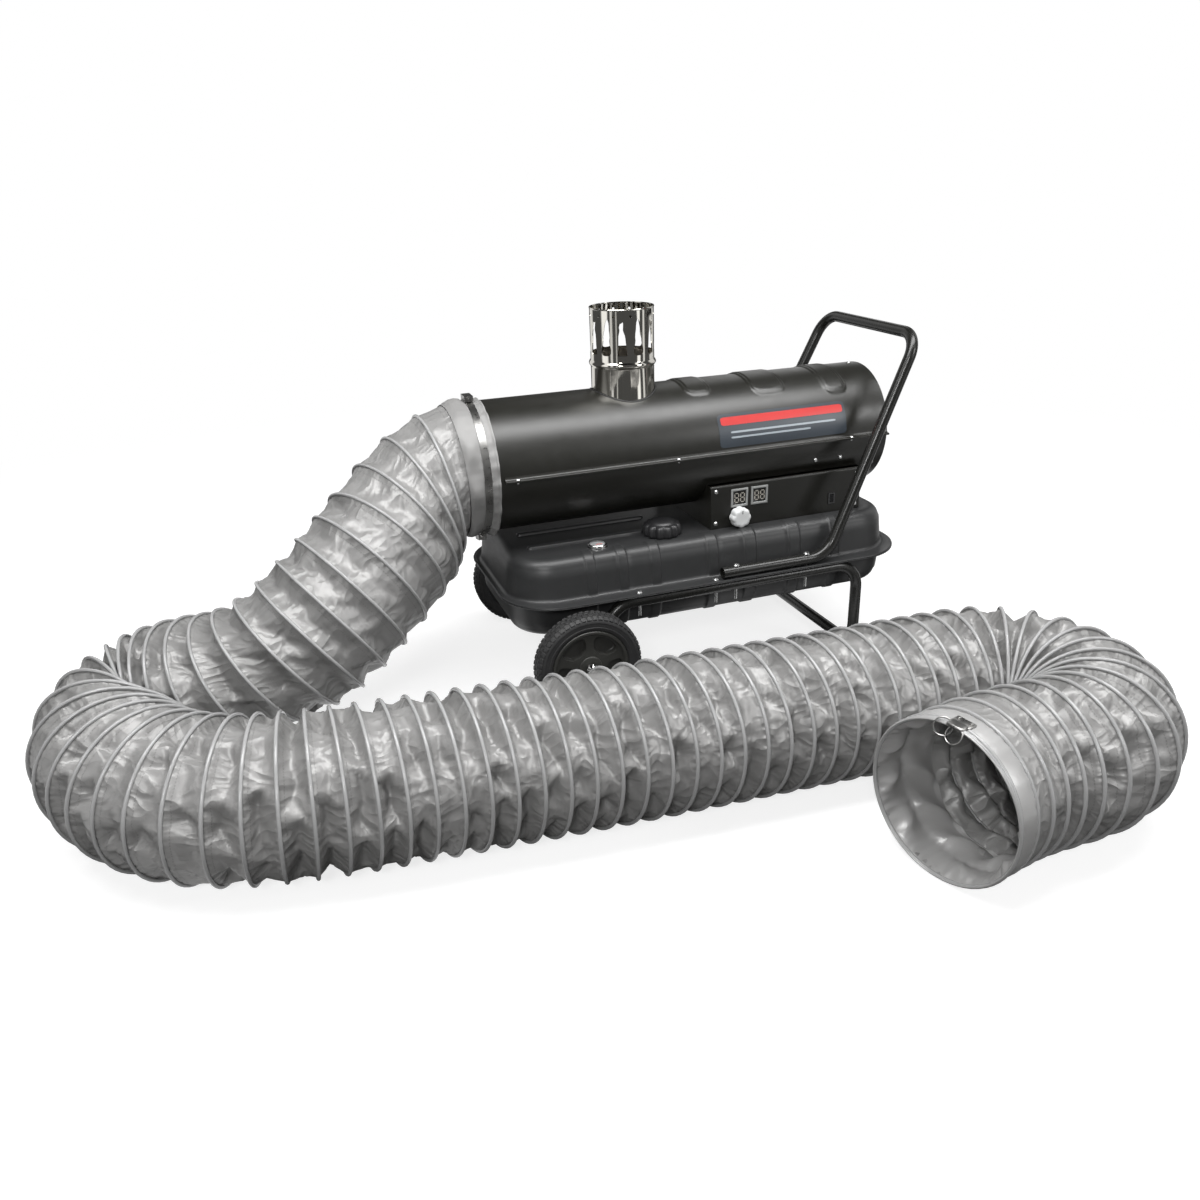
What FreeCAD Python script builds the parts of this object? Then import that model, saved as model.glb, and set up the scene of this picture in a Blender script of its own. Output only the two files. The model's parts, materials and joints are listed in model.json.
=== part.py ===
import FreeCAD, Part
import math
import os
import re
import Sketcher

# Indirect fired space heater on two wheels, with its flexible duct laid out in front.
# Millimetres, +Z up, origin on the floor under the middle of the heater, outlet towards -X,
# controls on the -Y side.

sizes = {
    # barrel
    "barrel_radius": 121, "shell_wall": 1.5, "barrel_axis_z": 427, "barrel_front": -437, "barrel_rear": 403,
    "seam_start": -384, "seam_width": 9, "seam_plate": 1.5, "seam_gap": 0.2,
    "seam_screw_front": -362, "seam_screw_mid": -52, "seam_screw_rear": 319,
    "screw_radius": 2.4, "screw_head_radius": 4.2, "screw_head_height": 2.8, "screw_clearance": 0.1,
    "emboss_rise": 3, "emboss_front": -7, "emboss_front_width": 55, "emboss_mid": 127,
    "emboss_mid_width": 74, "emboss_rear": 278, "emboss_rear_width": 52,
    "emboss_front_angle": 32, "emboss_mid_angle": 39, "emboss_rear_angle": 47,
    # heat exchanger and flue
    "flue_x": -112, "flue_radius": 60, "flue_wall": 1.2, "flue_top": 697, "flue_foot_z": 534,
    "flue_bead_z": 598, "flue_bead_rise": 3, "flue_hole_gap": 3, "flue_slots": 12, "flue_slot_width": 8,
    "flue_slot_bulb": 8.5, "flue_slot_belly": 6.4, "flue_slot_tip": 5.4, "flue_slot_drop": 24,
    "flue_slot_length": 44,
    "flue_vent_radius": 2.5, "flue_vent_drop": 12.5, "rim_height": 18, "rim_rise": 1,
    "collar_top": 592, "seat_clearance": 0.3, "drum_radius": 94, "drum_wall": 1.5, "drum_front": -330,
    "drum_rear": 60,
    "chamber_radius": 66, "chamber_front": -290, "stay_width": 12, "stay_inset": 30, "stay_ring": 3,
    # burner
    "burner_radius": 48, "burner_wall": 2, "burner_inset": 30, "burner_rear": 150, "burner_flange_rise": 12,
    "burner_flange": 3, "nozzle_radius": 9, "nozzle_tip": 3, "nozzle_length": 52, "electrode_radius": 2.5,
    "electrode_spread": 15, "electrode_length": 80, "igniter_bar": 8, "photocell_radius": 6,
    "photocell_length": 25, "photocell_drop": 28, "running_clearance": 0.05,
    # fan and motor
    "motor_radius": 42, "motor_front": 230, "motor_rear": 322, "pump_radius": 30, "pump_length": 34,
    "shaft_radius": 4,
    "bracket_front": 240, "bracket_rear": 296, "bracket_width": 12, "bracket_ring": 4,
    "bracket_angle": 108, "fan_hub_radius": 16, "fan_front": 344, "fan_hub_length": 28, "fan_tip_gap": 11.5,
    "fan_blades": 6, "fan_chord": 36, "fan_blade": 2, "fan_pitch": 35,
    "guard_wire": 2, "guard_rings": 5, "guard_inset": 5, "guard_tab_width": 12, "guard_tab_length": 16,
    "guard_tab_depth": 9,
    # control box
    "box_front": 15, "box_rear": 347, "box_half_width": 125, "box_top": 366, "box_wall": 1.5,
    "box_foot_gap": 0.2,
    "panel_screw_inset": 11, "display_side": 36, "display_lip": 2, "display_depth": 8,
    "display_front_x": 58,
    "display_rear_x": 101, "display_z": 320, "knob_x": 74, "knob_z": 301.2, "knob_radius": 20.4,
    "knob_length": 18,
    "knob_lift": 2, "spindle_radius": 3, "pot_radius": 12, "pot_depth": 15, "bush_radius": 4.5,
    "switch_x": 274, "switch_z": 298, "switch_width": 15, "switch_height": 22, "switch_depth": 18,
    "switch_lip": 1.6,
    "switch_rim": 1.6, "rocker_thickness": 6, "rocker_gap": 0.5, "rocker_tilt": 8,
    "rocker_pin": 1, "rocker_pin_seat": 0.8,
    "board_x": 46, "board_length": 130, "board_low": 287, "board_gap": 5, "board_thick": 1.6,
    "board_standoff": 22,
    "standoff_radius": 3, "transformer_x": 230, "transformer_length": 80, "transformer_width": 42,
    "transformer_height": 40, "gland_y": 95, "gland_z": 306, "gland_radius": 8, "gland_bore": 4,
    "gland_nut": 11,
    "gland_length": 22,
    # tank
    "tank_seam_z": 203, "tank_front": -391, "tank_rear": 412, "tank_half_width": 172, "tank_corner": 86,
    "tank_upper_height": 77, "tank_lower_height": 73, "tank_wall": 2, "tank_draft": 7, "tank_edge": 22,
    "flange_front": -405, "flange_rear": 430, "flange_half_width": 206, "flange_corner": 108,
    "flange_plate": 1.6,
    "cap_x": -78, "cap_y": -104, "cap_radius": 33, "cap_height": 25, "cap_lobes": 12, "cap_lobe_radius": 5,
    "cap_dome": 21, "cap_lift": 1.2, "neck_radius": 26, "neck_height": 12, "neck_wall": 2,
    "strainer_depth": 60,
    "strainer_wall": 1, "strainer_lip": 1.5, "liner_thick": 2.4, "liner_clearance": 0.3, "cap_wall": 3.5,
    "gauge_x": -215, "gauge_y": -118, "gauge_radius": 17.5, "gauge_rim": 2.5, "gauge_height": 6,
    "gauge_floor": 3,
    "gauge_stem": 5, "gauge_stem_length": 74, "lens_thick": 1.2, "pointer_thick": 0.8, "pointer_width": 2.4,
    "float_arm": 70, "float_radius": 14, "float_length": 36, "float_pin": 2, "float_eye": 5,
    "float_eye_width": 5,
    "drain_x": 300, "drain_radius": 6, "drain_head": 10, "drain_head_height": 7,
    "pickup_x": 190, "pickup_radius": 4, "pickup_flange": 12, "pickup_flange_height": 4, "pickup_foot": 8,
    "filter_radius": 11, "filter_height": 24, "line_radius": 3, "line_hole": 7, "pump_port_inset": 17,
    # frame, handle and wheels
    "tube_radius": 11, "tube_wall": 1.5, "rail_y": 193, "rest_gap": 0.2, "leg_x": 308, "axle_x": -281,
    "axle_z": 100.5, "rail_bend_x": -196, "rail_end": 20, "frame_bend": 50, "floor_bend": 46,
    "frame_bolt_front": -161,
    "frame_bolt_rear": -4, "handle_bolt_front": 38, "handle_bolt_rear": 190, "handle_start": 9,
    "handle_bend_x": 236,
    "handle_top_x": 426, "handle_top_y": 164, "handle_top_z": 623, "handle_low_bend": 60,
    "handle_top_bend": 48,
    "bolt_radius": 3, "bolt_head_radius": 6.5, "bolt_head_height": 4.5, "bolt_show": 20,
    "axle_radius": 7, "wheel_radius": 100.5, "wheel_width": 41, "wheel_face_y": 255, "rim_radius": 72,
    "hub_radius": 21,
    "rim_band": 8, "disc_thick": 14, "rim_pockets": 5, "pocket_angle": 50, "pocket_depth": 9,
    "tyre_round": 9,
    "spacer_radius": 10, "axle_cap_radius": 10, "axle_cap_length": 9,
    # duct
    "duct_floor_radius": 123.5, "duct_hang_radius": 131, "duct_ribs": 69, "duct_rib_height": 8,
    "duct_rib_foot": 2.5,
    "duct_wall": 2.5, "cuff_length": 52, "cuff_straight": 47, "cuff_turn": 0.4, "cuff_clearance": 0.4,
    "cuff_wall": 2.2, "mouth_cuff": 42, "mouth_radius": 120.5,
    "band_width": 13, "band_thick": 1, "band_inset": 16, "band_clearance": 0.3, "mouth_band_inset": 18,
    "buckle_length": 30, "buckle_width": 16, "buckle_height": 10, "buckle_screw": 3.2,
    "buckle_screw_length": 44,
}

# the line of the duct: out of the barrel, down to the floor, round to the front and back again
duct_route = [
    (-392, 0, 427), (-424, 0, 427), (-460, 0, 427), (-530, -35, 382), (-609, -98, 320),
    (-690, -134, 254), (-772, -133, 184), (-862, -94, 138), (-959, -82, 125), (-1040, -122, 124),
    (-1082, -199, 124), (-1071, -294, 124), (-1022, -396, 124), (-933, -475, 124), (-794, -511, 124),
    (-607, -530, 124), (-385, -550, 124), (-151, -564, 124), (43, -574, 124), (170, -580, 124),
    (271, -583, 124), (319, -602, 124), (355, -638, 124), (375, -685, 124), (375, -736, 124),
    (355, -783, 124), (319, -819, 124), (271, -838, 124), (186, -837, 124), (100, -842, 124),
    (11, -866, 124),
]

doc = FreeCAD.newDocument("space_heater")
sheet = doc.addObject("Spreadsheet::Sheet", "Sizes")
for row, (alias, value) in enumerate(sizes.items(), start=1):
    sheet.set("A%d" % row, alias)
    sheet.set("B%d" % row, str(value))
    sheet.setAlias("B%d" % row, alias)
doc.recompute()

Vector = FreeCAD.Vector
Rotation = FreeCAD.Rotation
Placement = FreeCAD.Placement
turn_to = {
    "z": Rotation(),
    "-z": Rotation(Vector(1, 0, 0), 180),
    "x": Rotation(Vector(0, 1, 0), 90),
    "-x": Rotation(Vector(0, 1, 0), -90),
    "y": Rotation(Vector(1, 0, 0), -90),
    "-y": Rotation(Vector(1, 0, 0), 90),
}
word = re.compile(r"[a-z][a-z_]*[a-z]")
nodes = []


def size(alias):
    return float(getattr(sheet, alias))


def count(alias):
    return int(round(size(alias)))


def bind(obj, prop, text):
    obj.setExpression(prop, word.sub(lambda found: link(found.group(0)), str(text)))


def link(name):
    return "Sizes." + name if name in sizes else name


def place(obj, at, axis="z"):
    obj.Placement = Placement(Vector(), turn_to[axis])
    for letter, text in zip("xyz", at):
        bind(obj, "Placement.Base." + letter, text)
    return obj


def rod(name, radius, length, at, axis="z"):
    obj = doc.addObject("Part::Cylinder", name)
    bind(obj, "Radius", radius)
    bind(obj, "Height", length)
    return place(obj, at, axis)


def block(name, lengths, at):
    obj = doc.addObject("Part::Box", name)
    for prop, text in zip(("Length", "Width", "Height"), lengths):
        bind(obj, prop, text)
    return place(obj, at)


def fuse(name, *items):
    obj = doc.addObject("Part::MultiFuse", name)
    obj.Shapes = list(items)
    return obj


def cut(name, base, *tools):
    obj = doc.addObject("Part::Cut", name)
    obj.Base = base
    obj.Tool = tools[0] if len(tools) == 1 else fuse(name + "_tool", *tools)
    return obj


def pipe(name, outer, inner, length, at, axis="z"):
    return cut(name, rod(name + "_out", outer, length, at, axis),
               rod(name + "_in", inner, length, at, axis))


def group(name, items):
    obj = doc.addObject("Part::Compound", name)
    obj.Links = list(items)
    return obj


def node(label, obj):
    obj.Label = label
    nodes.append(obj)
    return obj


def moved(obj, placement):
    obj.Placement = placement
    return obj


def outline(body, plane, points):
    """A closed sketch of straight lines whose corners are dimensioned from the origin."""
    sketch = body.newObject("Sketcher::SketchObject", body.Name + "_sketch")
    origin = [item for item in body.Origin.OriginFeatures if item.Role == plane][0]
    sketch.AttachmentSupport = [(origin, "")]
    sketch.MapMode = "FlatFace"
    total = len(points)
    start = [Vector(50 * math.cos(6.283 * i / total), 50 * math.sin(6.283 * i / total),
                    0) for i in range(total)]
    for i in range(total):
        sketch.addGeometry(Part.LineSegment(start[i], start[(i + 1) % total]), False)
    for i in range(total):
        sketch.addConstraint(Sketcher.Constraint("Coincident", i, 2, (i + 1) % total, 1))
    for i, (across, along) in enumerate(points):
        for kind, axis, value, text in (("DistanceX", -2, start[i].x, across),
                                        ("DistanceY", -1, start[i].y, along)):
            if str(text) == "0":
                sketch.addConstraint(Sketcher.Constraint("PointOnObject", i, 1, axis))
            else:
                number = sketch.addConstraint(Sketcher.Constraint(kind, -1, 1, i, 1, value))
                bind(sketch, "Constraints[%d]" % number, text)
    return sketch


def turned(name, points, at, axis="z"):
    """A solid turned about its own Z axis from (radius, height) corners."""
    body = doc.addObject("PartDesign::Body", name)
    sketch = outline(body, "XZ_Plane", points)
    spin = body.newObject("PartDesign::Revolution", name + "_turned")
    spin.Profile = sketch
    spin.ReferenceAxis = (sketch, ["V_Axis"])
    spin.Angle = 360
    sketch.Visibility = False
    return place(body, at, axis)


def tub(name, front, rear, half, corner, height, draft, edge, at, axis="z"):
    """A drafted block with round upright corners and, where edge is given, a round top."""
    body = doc.addObject("PartDesign::Body", name)
    corners = [(front, "-(%s)" % half), (rear, "-(%s)" % half), (rear, half), (front, half)]
    sketch = outline(body, "XY_Plane", corners)
    pad = body.newObject("PartDesign::Pad", name + "_pad")
    pad.Profile = sketch
    bind(pad, "Length", height)
    if draft:
        bind(pad, "TaperAngle", "-(%s)" % draft)
    doc.recompute()
    upright = body.newObject("PartDesign::Fillet", name + "_corners")
    upright.Base = (pad, [edge_name(pad, i) for i in range(len(pad.Shape.Edges)) if is_upright(pad, i)])
    bind(upright, "Radius", corner)
    doc.recompute()
    if edge:
        rounding = body.newObject("PartDesign::Fillet", name + "_edge")
        top = max(item.BoundBox.ZMin for item in upright.Shape.Edges)
        rounding.Base = (upright, [edge_name(upright, i) for i in range(len(upright.Shape.Edges))
                                   if upright.Shape.Edges[i].BoundBox.ZMin > top - 0.01])
        bind(rounding, "Radius", edge)
    return place(body, at, axis)


def edge_name(feature, index):
    return "Edge%d" % (index + 1)


def is_upright(feature, index):
    box = feature.Shape.Edges[index].BoundBox
    return box.ZLength > 0.5 * feature.Shape.BoundBox.ZLength


def around_barrel(x, angle, radius):
    """A frame on the barrel: angle is measured from the top towards the far side, Z points outwards."""
    lean = math.radians(angle)
    base = Vector(x, radius * math.sin(lean), size("barrel_axis_z") + radius * math.cos(lean))
    return Placement(base, Rotation(Vector(1, 0, 0), -angle))


def radial_rod(name, radius, length, x, angle, start):
    obj = doc.addObject("Part::Cylinder", name)
    bind(obj, "Radius", radius)
    bind(obj, "Height", length)
    return moved(obj, around_barrel(x, angle, start))


def radial_block(name, along, across, length, x, angle, start):
    obj = doc.addObject("Part::Box", name)
    bind(obj, "Length", along)
    bind(obj, "Width", across)
    bind(obj, "Height", length)
    frame = around_barrel(x, angle, start)
    half = frame.Rotation.multVec(Vector(0, obj_size(across) / 2, 0))
    return moved(obj, Placement(frame.Base - half, frame.Rotation))


def obj_size(text):
    return size(text) if text in sizes else float(text)


def solid_feature(name, shape, placement=Placement()):
    obj = doc.addObject("Part::Feature", name)
    obj.Shape = shape
    obj.Placement = placement
    return obj


def bent_path(points, bends):
    """Straight runs joined by tangent arcs, one bend radius for each inner point."""
    edges = []
    last = points[0]
    for before, corner, after, bend in zip(points, points[1:], points[2:], bends):
        come = (before - corner).normalize()
        leave = (after - corner).normalize()
        half = come.getAngle(leave) / 2
        reach = bend / math.tan(half)
        first = corner + come * reach
        final = corner + leave * reach
        centre = corner + (come + leave).normalize() * (bend / math.sin(half))
        middle = centre + (corner - centre).normalize() * bend
        edges.append(Part.LineSegment(last, first).toShape())
        edges.append(Part.Arc(first, middle, final).toShape())
        last = final
    edges.append(Part.LineSegment(last, points[-1]).toShape())
    return Part.Wire(edges)


def swept(path, radius):
    first = path.Edges[0]
    heading = first.tangentAt(first.FirstParameter)
    ring = Part.Wire([Part.makeCircle(radius, first.valueAt(first.FirstParameter), heading)])
    return path.makePipeShell([ring], True, False)


def bent_tube(name, points, bends, outer, inner):
    path = bent_path(points, bends)
    shape = swept(path, outer).cut(swept(path, inner))
    section = math.pi * (outer ** 2 - inner ** 2)
    print(name, "volume over section times length: %.4f" % (shape.Volume / (section * path.Length)))
    return solid_feature(name, shape)


# places shared by several pieces
inner_radius = "barrel_radius - shell_wall"
seam_top = "barrel_axis_z + seam_gap / 2"
tank_top = "tank_seam_z + tank_upper_height"
box_floor = "tank_seam_z + tank_upper_height + box_foot_gap"
flange_top = "tank_seam_z + flange_plate"
rail_z = "tank_seam_z - seam_gap - flange_plate - rest_gap - tube_radius"
handle_z = "tank_seam_z + flange_plate + rest_gap + tube_radius"
screw_hole = "screw_radius + screw_clearance"
seam_screw_y = "barrel_radius + seam_width / 2"
drum_hole = "flue_radius - flue_wall - seat_clearance"
seam_screw_places = ["seam_screw_front", "seam_screw_mid", "seam_screw_rear"]
guard_screw_angles = [0, 120, 240]
sides = {"near": -1, "far": 1}


def screw(name, at, axis, grip):
    """Pan screw: head outside the origin, shank of the given length along -axis."""
    head = [("0", "0"), ("screw_head_radius", "0"), ("screw_head_radius", "screw_head_height / 2"),
            ("screw_head_radius * 0.7", "screw_head_height"), ("0", "screw_head_height")]
    shank = [("0", "-(%s)" % grip), ("screw_radius", "-(%s)" % grip), ("screw_radius", "0")]
    return turned(name, shank + head[1:], at, axis)


# barrel shells
def barrel_half(label, upper):
    length = "barrel_rear - barrel_front"
    start = ("barrel_front", "0", "barrel_axis_z")
    skin = pipe(label + "_skin", "barrel_radius", inner_radius, length, start, "x")
    parts = [skin]
    drop = seam_top if upper else "barrel_axis_z - seam_gap / 2 - seam_plate"
    for side in sides:
        low = "-(barrel_radius + seam_width)" if side == "near" else inner_radius
        parts.append(block(label + "_seam_" + side,
                           ("barrel_rear - seam_start", "seam_width + shell_wall", "seam_plate"),
                           ("seam_start", low, drop)))
    if upper:
        parts += [emboss(label, part) for part in ("front", "mid", "rear")]
    whole = fuse(label + "_whole", *parts)
    lid_low = "barrel_axis_z - 2 * barrel_radius + seam_gap / 2" if upper else "barrel_axis_z - seam_gap / 2"
    tools = [block(label + "_other_half", (length, "4 * barrel_radius", "2 * barrel_radius"),
                   ("barrel_front", "-2 * barrel_radius", lid_low))]
    for side, sign in sides.items():
        for spot in seam_screw_places:
            tools.append(rod("%s_%s_%s_hole" % (label, side, spot), screw_hole, "6 * seam_plate",
                             (spot, "%d * (%s)" % (sign, seam_screw_y), "barrel_axis_z - 3 * seam_plate")))
    return whole, tools


def emboss(label, spot):
    name = label + "_emboss_" + spot
    half = size("emboss_%s_angle" % spot)
    frame = Placement(Vector(size("emboss_" + spot), 0, size("barrel_axis_z")),
                      Rotation(Vector(1, 0, 0), 180 - half).multiply(turn_to["x"]))
    wedges = []
    for layer, radius in (("out", "barrel_radius + emboss_rise"), ("in", "barrel_radius - shell_wall / 2")):
        wedge = doc.addObject("Part::Cylinder", "%s_%s" % (name, layer))
        bind(wedge, "Radius", radius)
        bind(wedge, "Height", "emboss_%s_width" % spot)
        bind(wedge, "Angle", "2 * emboss_%s_angle" % spot)
        wedges.append(moved(wedge, frame))
    return cut(name, *wedges)


whole, tools = barrel_half("upper_shell", True)
tools.append(rod("upper_flue_hole", "flue_radius + flue_hole_gap", "2 * barrel_radius",
                 ("flue_x", "0", "barrel_axis_z")))
tools.append(radial_rod("upper_guard_hole", screw_hole, "4 * shell_wall + emboss_rise",
                        size("barrel_rear") - size("guard_inset") - size("guard_tab_length"), 0,
                        size("barrel_radius") - 3 * size("shell_wall")))
node("upper_shell", cut("upper_shell", whole, *tools))

bracket_spots = [(spot, sign * size("bracket_angle")) for spot in ("bracket_front",
                                                                   "bracket_rear") for sign in (-1, 1)]
whole, tools = barrel_half("lower_shell", False)
tools.append(rod("lower_line_hole", "line_hole", "barrel_radius",
                 ("pickup_x", "0", "barrel_axis_z - 1.5 * barrel_radius")))
for number, (spot, angle) in enumerate(bracket_spots):
    tools.append(radial_rod("lower_bracket_hole_%d" % number, screw_hole, "6 * shell_wall",
                            size(spot) + size("bracket_width") / 2, angle,
                            size("barrel_radius") - 3 * size("shell_wall")))
guard_tab_x = size("barrel_rear") - size("guard_inset") - size("guard_tab_length")
for angle in guard_screw_angles[1:]:
    tools.append(radial_rod("lower_guard_hole_%d" % angle, screw_hole, "6 * shell_wall", guard_tab_x, angle,
                            size("barrel_radius") - 3 * size("shell_wall")))
node("lower_shell", cut("lower_shell", whole, *tools))

seam_screws = []
for side, sign in sides.items():
    for spot in seam_screw_places:
        seam_screws.append(screw("seam_screw_%s_%s" % (side, spot),
                                 (spot, "%d * (%s)" % (sign, seam_screw_y), seam_top + " + seam_plate"),
                                 "z", "4 * seam_plate"))
node("seam_screws", group("seam_screws", seam_screws))


def radial_screw(name, x, angle, grip):
    obj = screw(name, ("0", "0", "0"), "z", grip)
    for letter in "xyz":
        obj.setExpression("Placement.Base." + letter, None)
    return moved(obj, around_barrel(x, angle, size("barrel_radius") + size("seat_clearance") / 2))


# heat exchanger drum with the flue collar welded on its top
drum_length = "drum_rear - drum_front"
drum_out = rod("drum_out", "drum_radius", drum_length, ("drum_front", "0", "barrel_axis_z"), "x")
collar_out = rod("collar_out", drum_hole, "collar_top - barrel_axis_z", ("flue_x", "0", "barrel_axis_z"))
drum_in = rod("drum_in", "drum_radius - drum_wall", drum_length + " - 2 * drum_wall",
              ("drum_front + drum_wall", "0", "barrel_axis_z"), "x")
collar_in = rod("collar_in", drum_hole + " - drum_wall", "collar_top - barrel_axis_z",
                ("flue_x", "0", "barrel_axis_z"))
burner_port = rod("burner_port", "burner_radius + seat_clearance", "3 * drum_wall",
                  ("drum_rear - 2 * drum_wall", "0", "barrel_axis_z"), "x")
node("heat_exchanger", cut("heat_exchanger", fuse("drum_whole", drum_out, collar_out), drum_in, collar_in,
                           burner_port))
node("combustion_chamber", pipe("combustion_chamber", "chamber_radius", "chamber_radius - drum_wall",
                                "drum_rear - drum_wall - chamber_front",
                                ("chamber_front", "0", "barrel_axis_z"), "x"))


# rings with three arms that hold the drum in the middle of the barrel
def stay(name, x):
    ring = pipe(name + "_ring", "drum_radius + seat_clearance + stay_ring", "drum_radius + seat_clearance",
                "stay_width", (x, "0", "barrel_axis_z"), "x")
    start = size("drum_radius") + size("seat_clearance") + size("stay_ring") / 2
    reach = "barrel_radius - shell_wall - 2 * seat_clearance - drum_radius - stay_ring / 2"
    arms = []
    for angle in (60, 180, 300):
        front = size("drum_front") + size("stay_inset") if x == "drum_front + stay_inset" else \
            size("drum_rear") - size("stay_inset") - size("stay_width")
        arms.append(radial_block("%s_arm_%d" % (name, angle), "stay_width", "stay_width", reach, front,
                                 angle, start))
    return fuse(name, ring, *arms)


node("exchanger_stays", group("exchanger_stays", [stay("front_stay", "drum_front + stay_inset"),
                                                  stay("rear_stay",
                                                       "drum_rear - stay_inset - stay_width")]))


# slotted stainless flue over the collar
def flue_slot(number):
    angle = 360.0 * number / count("flue_slots")
    frame = Placement(Vector(size("flue_x"), 0, 0), Rotation(Vector(0, 0, 1), angle))
    slit = doc.addObject("Part::Box", "flue_slit_%d" % number)
    bind(slit, "Length", "4 * flue_wall + 2 * flue_slot_bulb")
    bind(slit, "Width", "flue_slot_width")
    bind(slit, "Height", "flue_slot_length")
    inset = size("flue_radius") - 2 * size("flue_wall") - size("flue_slot_bulb")
    slot_high = size("flue_top") - size("flue_slot_drop")
    slot_low = slot_high - size("flue_slot_length")
    moved(slit, frame.multiply(Placement(Vector(inset, -size("flue_slot_width") / 2, slot_low),
                                         Rotation())))
    swells = []
    for part, level in (("bulb", slot_low), ("belly", (slot_low + slot_high) / 2), ("tip", slot_high)):
        swell = doc.addObject("Part::Cylinder", "flue_%s_%d" % (part, number))
        bind(swell, "Radius", "flue_slot_" + part)
        bind(swell, "Height", "4 * flue_wall + 2 * flue_slot_bulb")
        swells.append(moved(swell, frame.multiply(Placement(Vector(inset, 0, level), turn_to["x"]))))
    vent = doc.addObject("Part::Cylinder", "flue_vent_%d" % number)
    bind(vent, "Radius", "flue_vent_radius")
    bind(vent, "Height", "4 * flue_wall + 2 * flue_slot_bulb")
    middle = Rotation(Vector(0, 0, 1), 180.0 / count("flue_slots"))
    vent_frame = frame.multiply(Placement(Vector(), middle))
    vent_z = size("flue_top") - size("flue_vent_drop")
    moved(vent, vent_frame.multiply(Placement(Vector(inset, 0, vent_z), turn_to["x"])))
    return [slit, vent] + swells


bead_low = "flue_bead_z - 2 * flue_bead_rise - flue_foot_z"
bead_high = "flue_bead_z + 2 * flue_bead_rise - flue_foot_z"
bore = "flue_radius - flue_wall"
flue_wall_outline = [
    (bore, "0"), ("flue_radius", "0"), ("flue_radius", bead_low),
    ("flue_radius + flue_bead_rise", "flue_bead_z - flue_bead_rise / 2 - flue_foot_z"),
    ("flue_radius + flue_bead_rise", "flue_bead_z + flue_bead_rise / 2 - flue_foot_z"),
    ("flue_radius", bead_high), ("flue_radius", "flue_top - rim_height - flue_foot_z"),
    ("flue_radius + rim_rise", "flue_top - rim_height - flue_foot_z"),
    ("flue_radius + rim_rise", "flue_top - flue_foot_z"), (bore, "flue_top - flue_foot_z"),
]
flue_tube = turned("flue_tube", flue_wall_outline, ("flue_x", "0", "flue_foot_z"))
slots = [item for number in range(count("flue_slots")) for item in flue_slot(number)]
node("flue", cut("flue", flue_tube, *slots))

# burner: blast tube with a flange on the drum and a rear cover that carries nozzle, igniter and photocell
burner_front = "drum_rear - burner_inset"
burner_outline = [
    ("burner_radius - burner_wall", "0"), ("burner_radius", "0"), ("burner_radius", "burner_inset"),
    ("burner_radius + burner_flange_rise", "burner_inset"),
    ("burner_radius + burner_flange_rise", "burner_inset + burner_flange"),
    ("burner_radius", "burner_inset + burner_flange"),
    ("burner_radius", "burner_rear - drum_rear + burner_inset"),
    ("nozzle_radius * 0.7 + running_clearance", "burner_rear - drum_rear + burner_inset"),
    ("nozzle_radius * 0.7 + running_clearance", "burner_rear - drum_rear + burner_inset - burner_flange"),
    ("burner_radius - burner_wall", "burner_rear - drum_rear + burner_inset - burner_flange"),
]
burner_shell = turned("burner_shell", burner_outline, (burner_front, "0", "barrel_axis_z"), "x")
electrode_holes = []
for side, sign in sides.items():
    electrode_holes.append(rod("electrode_hole_" + side, "electrode_radius + running_clearance",
                               "3 * burner_flange",
                               ("burner_rear - 2 * burner_flange", "%d * electrode_spread" % sign,
                                "barrel_axis_z + electrode_spread"), "x"))
node("burner_head", cut("burner_head", burner_shell, *electrode_holes))
nozzle_outline = [
    ("0", "0"), ("nozzle_tip", "0"), ("nozzle_radius", "nozzle_radius"),
    ("nozzle_radius", "nozzle_length - burner_flange - running_clearance"),
    ("nozzle_radius * 0.7", "nozzle_length - burner_flange - running_clearance"),
    ("nozzle_radius * 0.7", "nozzle_length + burner_flange"), ("0", "nozzle_length + burner_flange"),
]
node("fuel_nozzle", turned("fuel_nozzle", nozzle_outline,
                           ("burner_rear - nozzle_length", "0", "barrel_axis_z"), "x"))
electrodes = []
for side, sign in sides.items():
    electrodes.append(rod("electrode_" + side, "electrode_radius", "electrode_length",
                          ("burner_rear - electrode_length + 3 * igniter_bar",
                           "%d * electrode_spread" % sign,
                           "barrel_axis_z + electrode_spread"), "x"))
igniter_bar = block("igniter_bar_block", ("igniter_bar", "2 * electrode_spread + 2 * igniter_bar",
                                          "igniter_bar"),
                    ("burner_rear", "-(electrode_spread + igniter_bar)",
                     "barrel_axis_z + electrode_spread - igniter_bar / 2"))
node("igniter", fuse("igniter", igniter_bar, *electrodes))
node("photocell", turned("photocell", [("0", "0"), ("photocell_radius", "0"),
                                       ("photocell_radius", "photocell_length * 0.7"),
                                       ("photocell_radius * 0.5", "photocell_length"),
                                       ("0", "photocell_length")],
                         ("burner_rear", "0", "barrel_axis_z - photocell_drop"), "x"))

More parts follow.
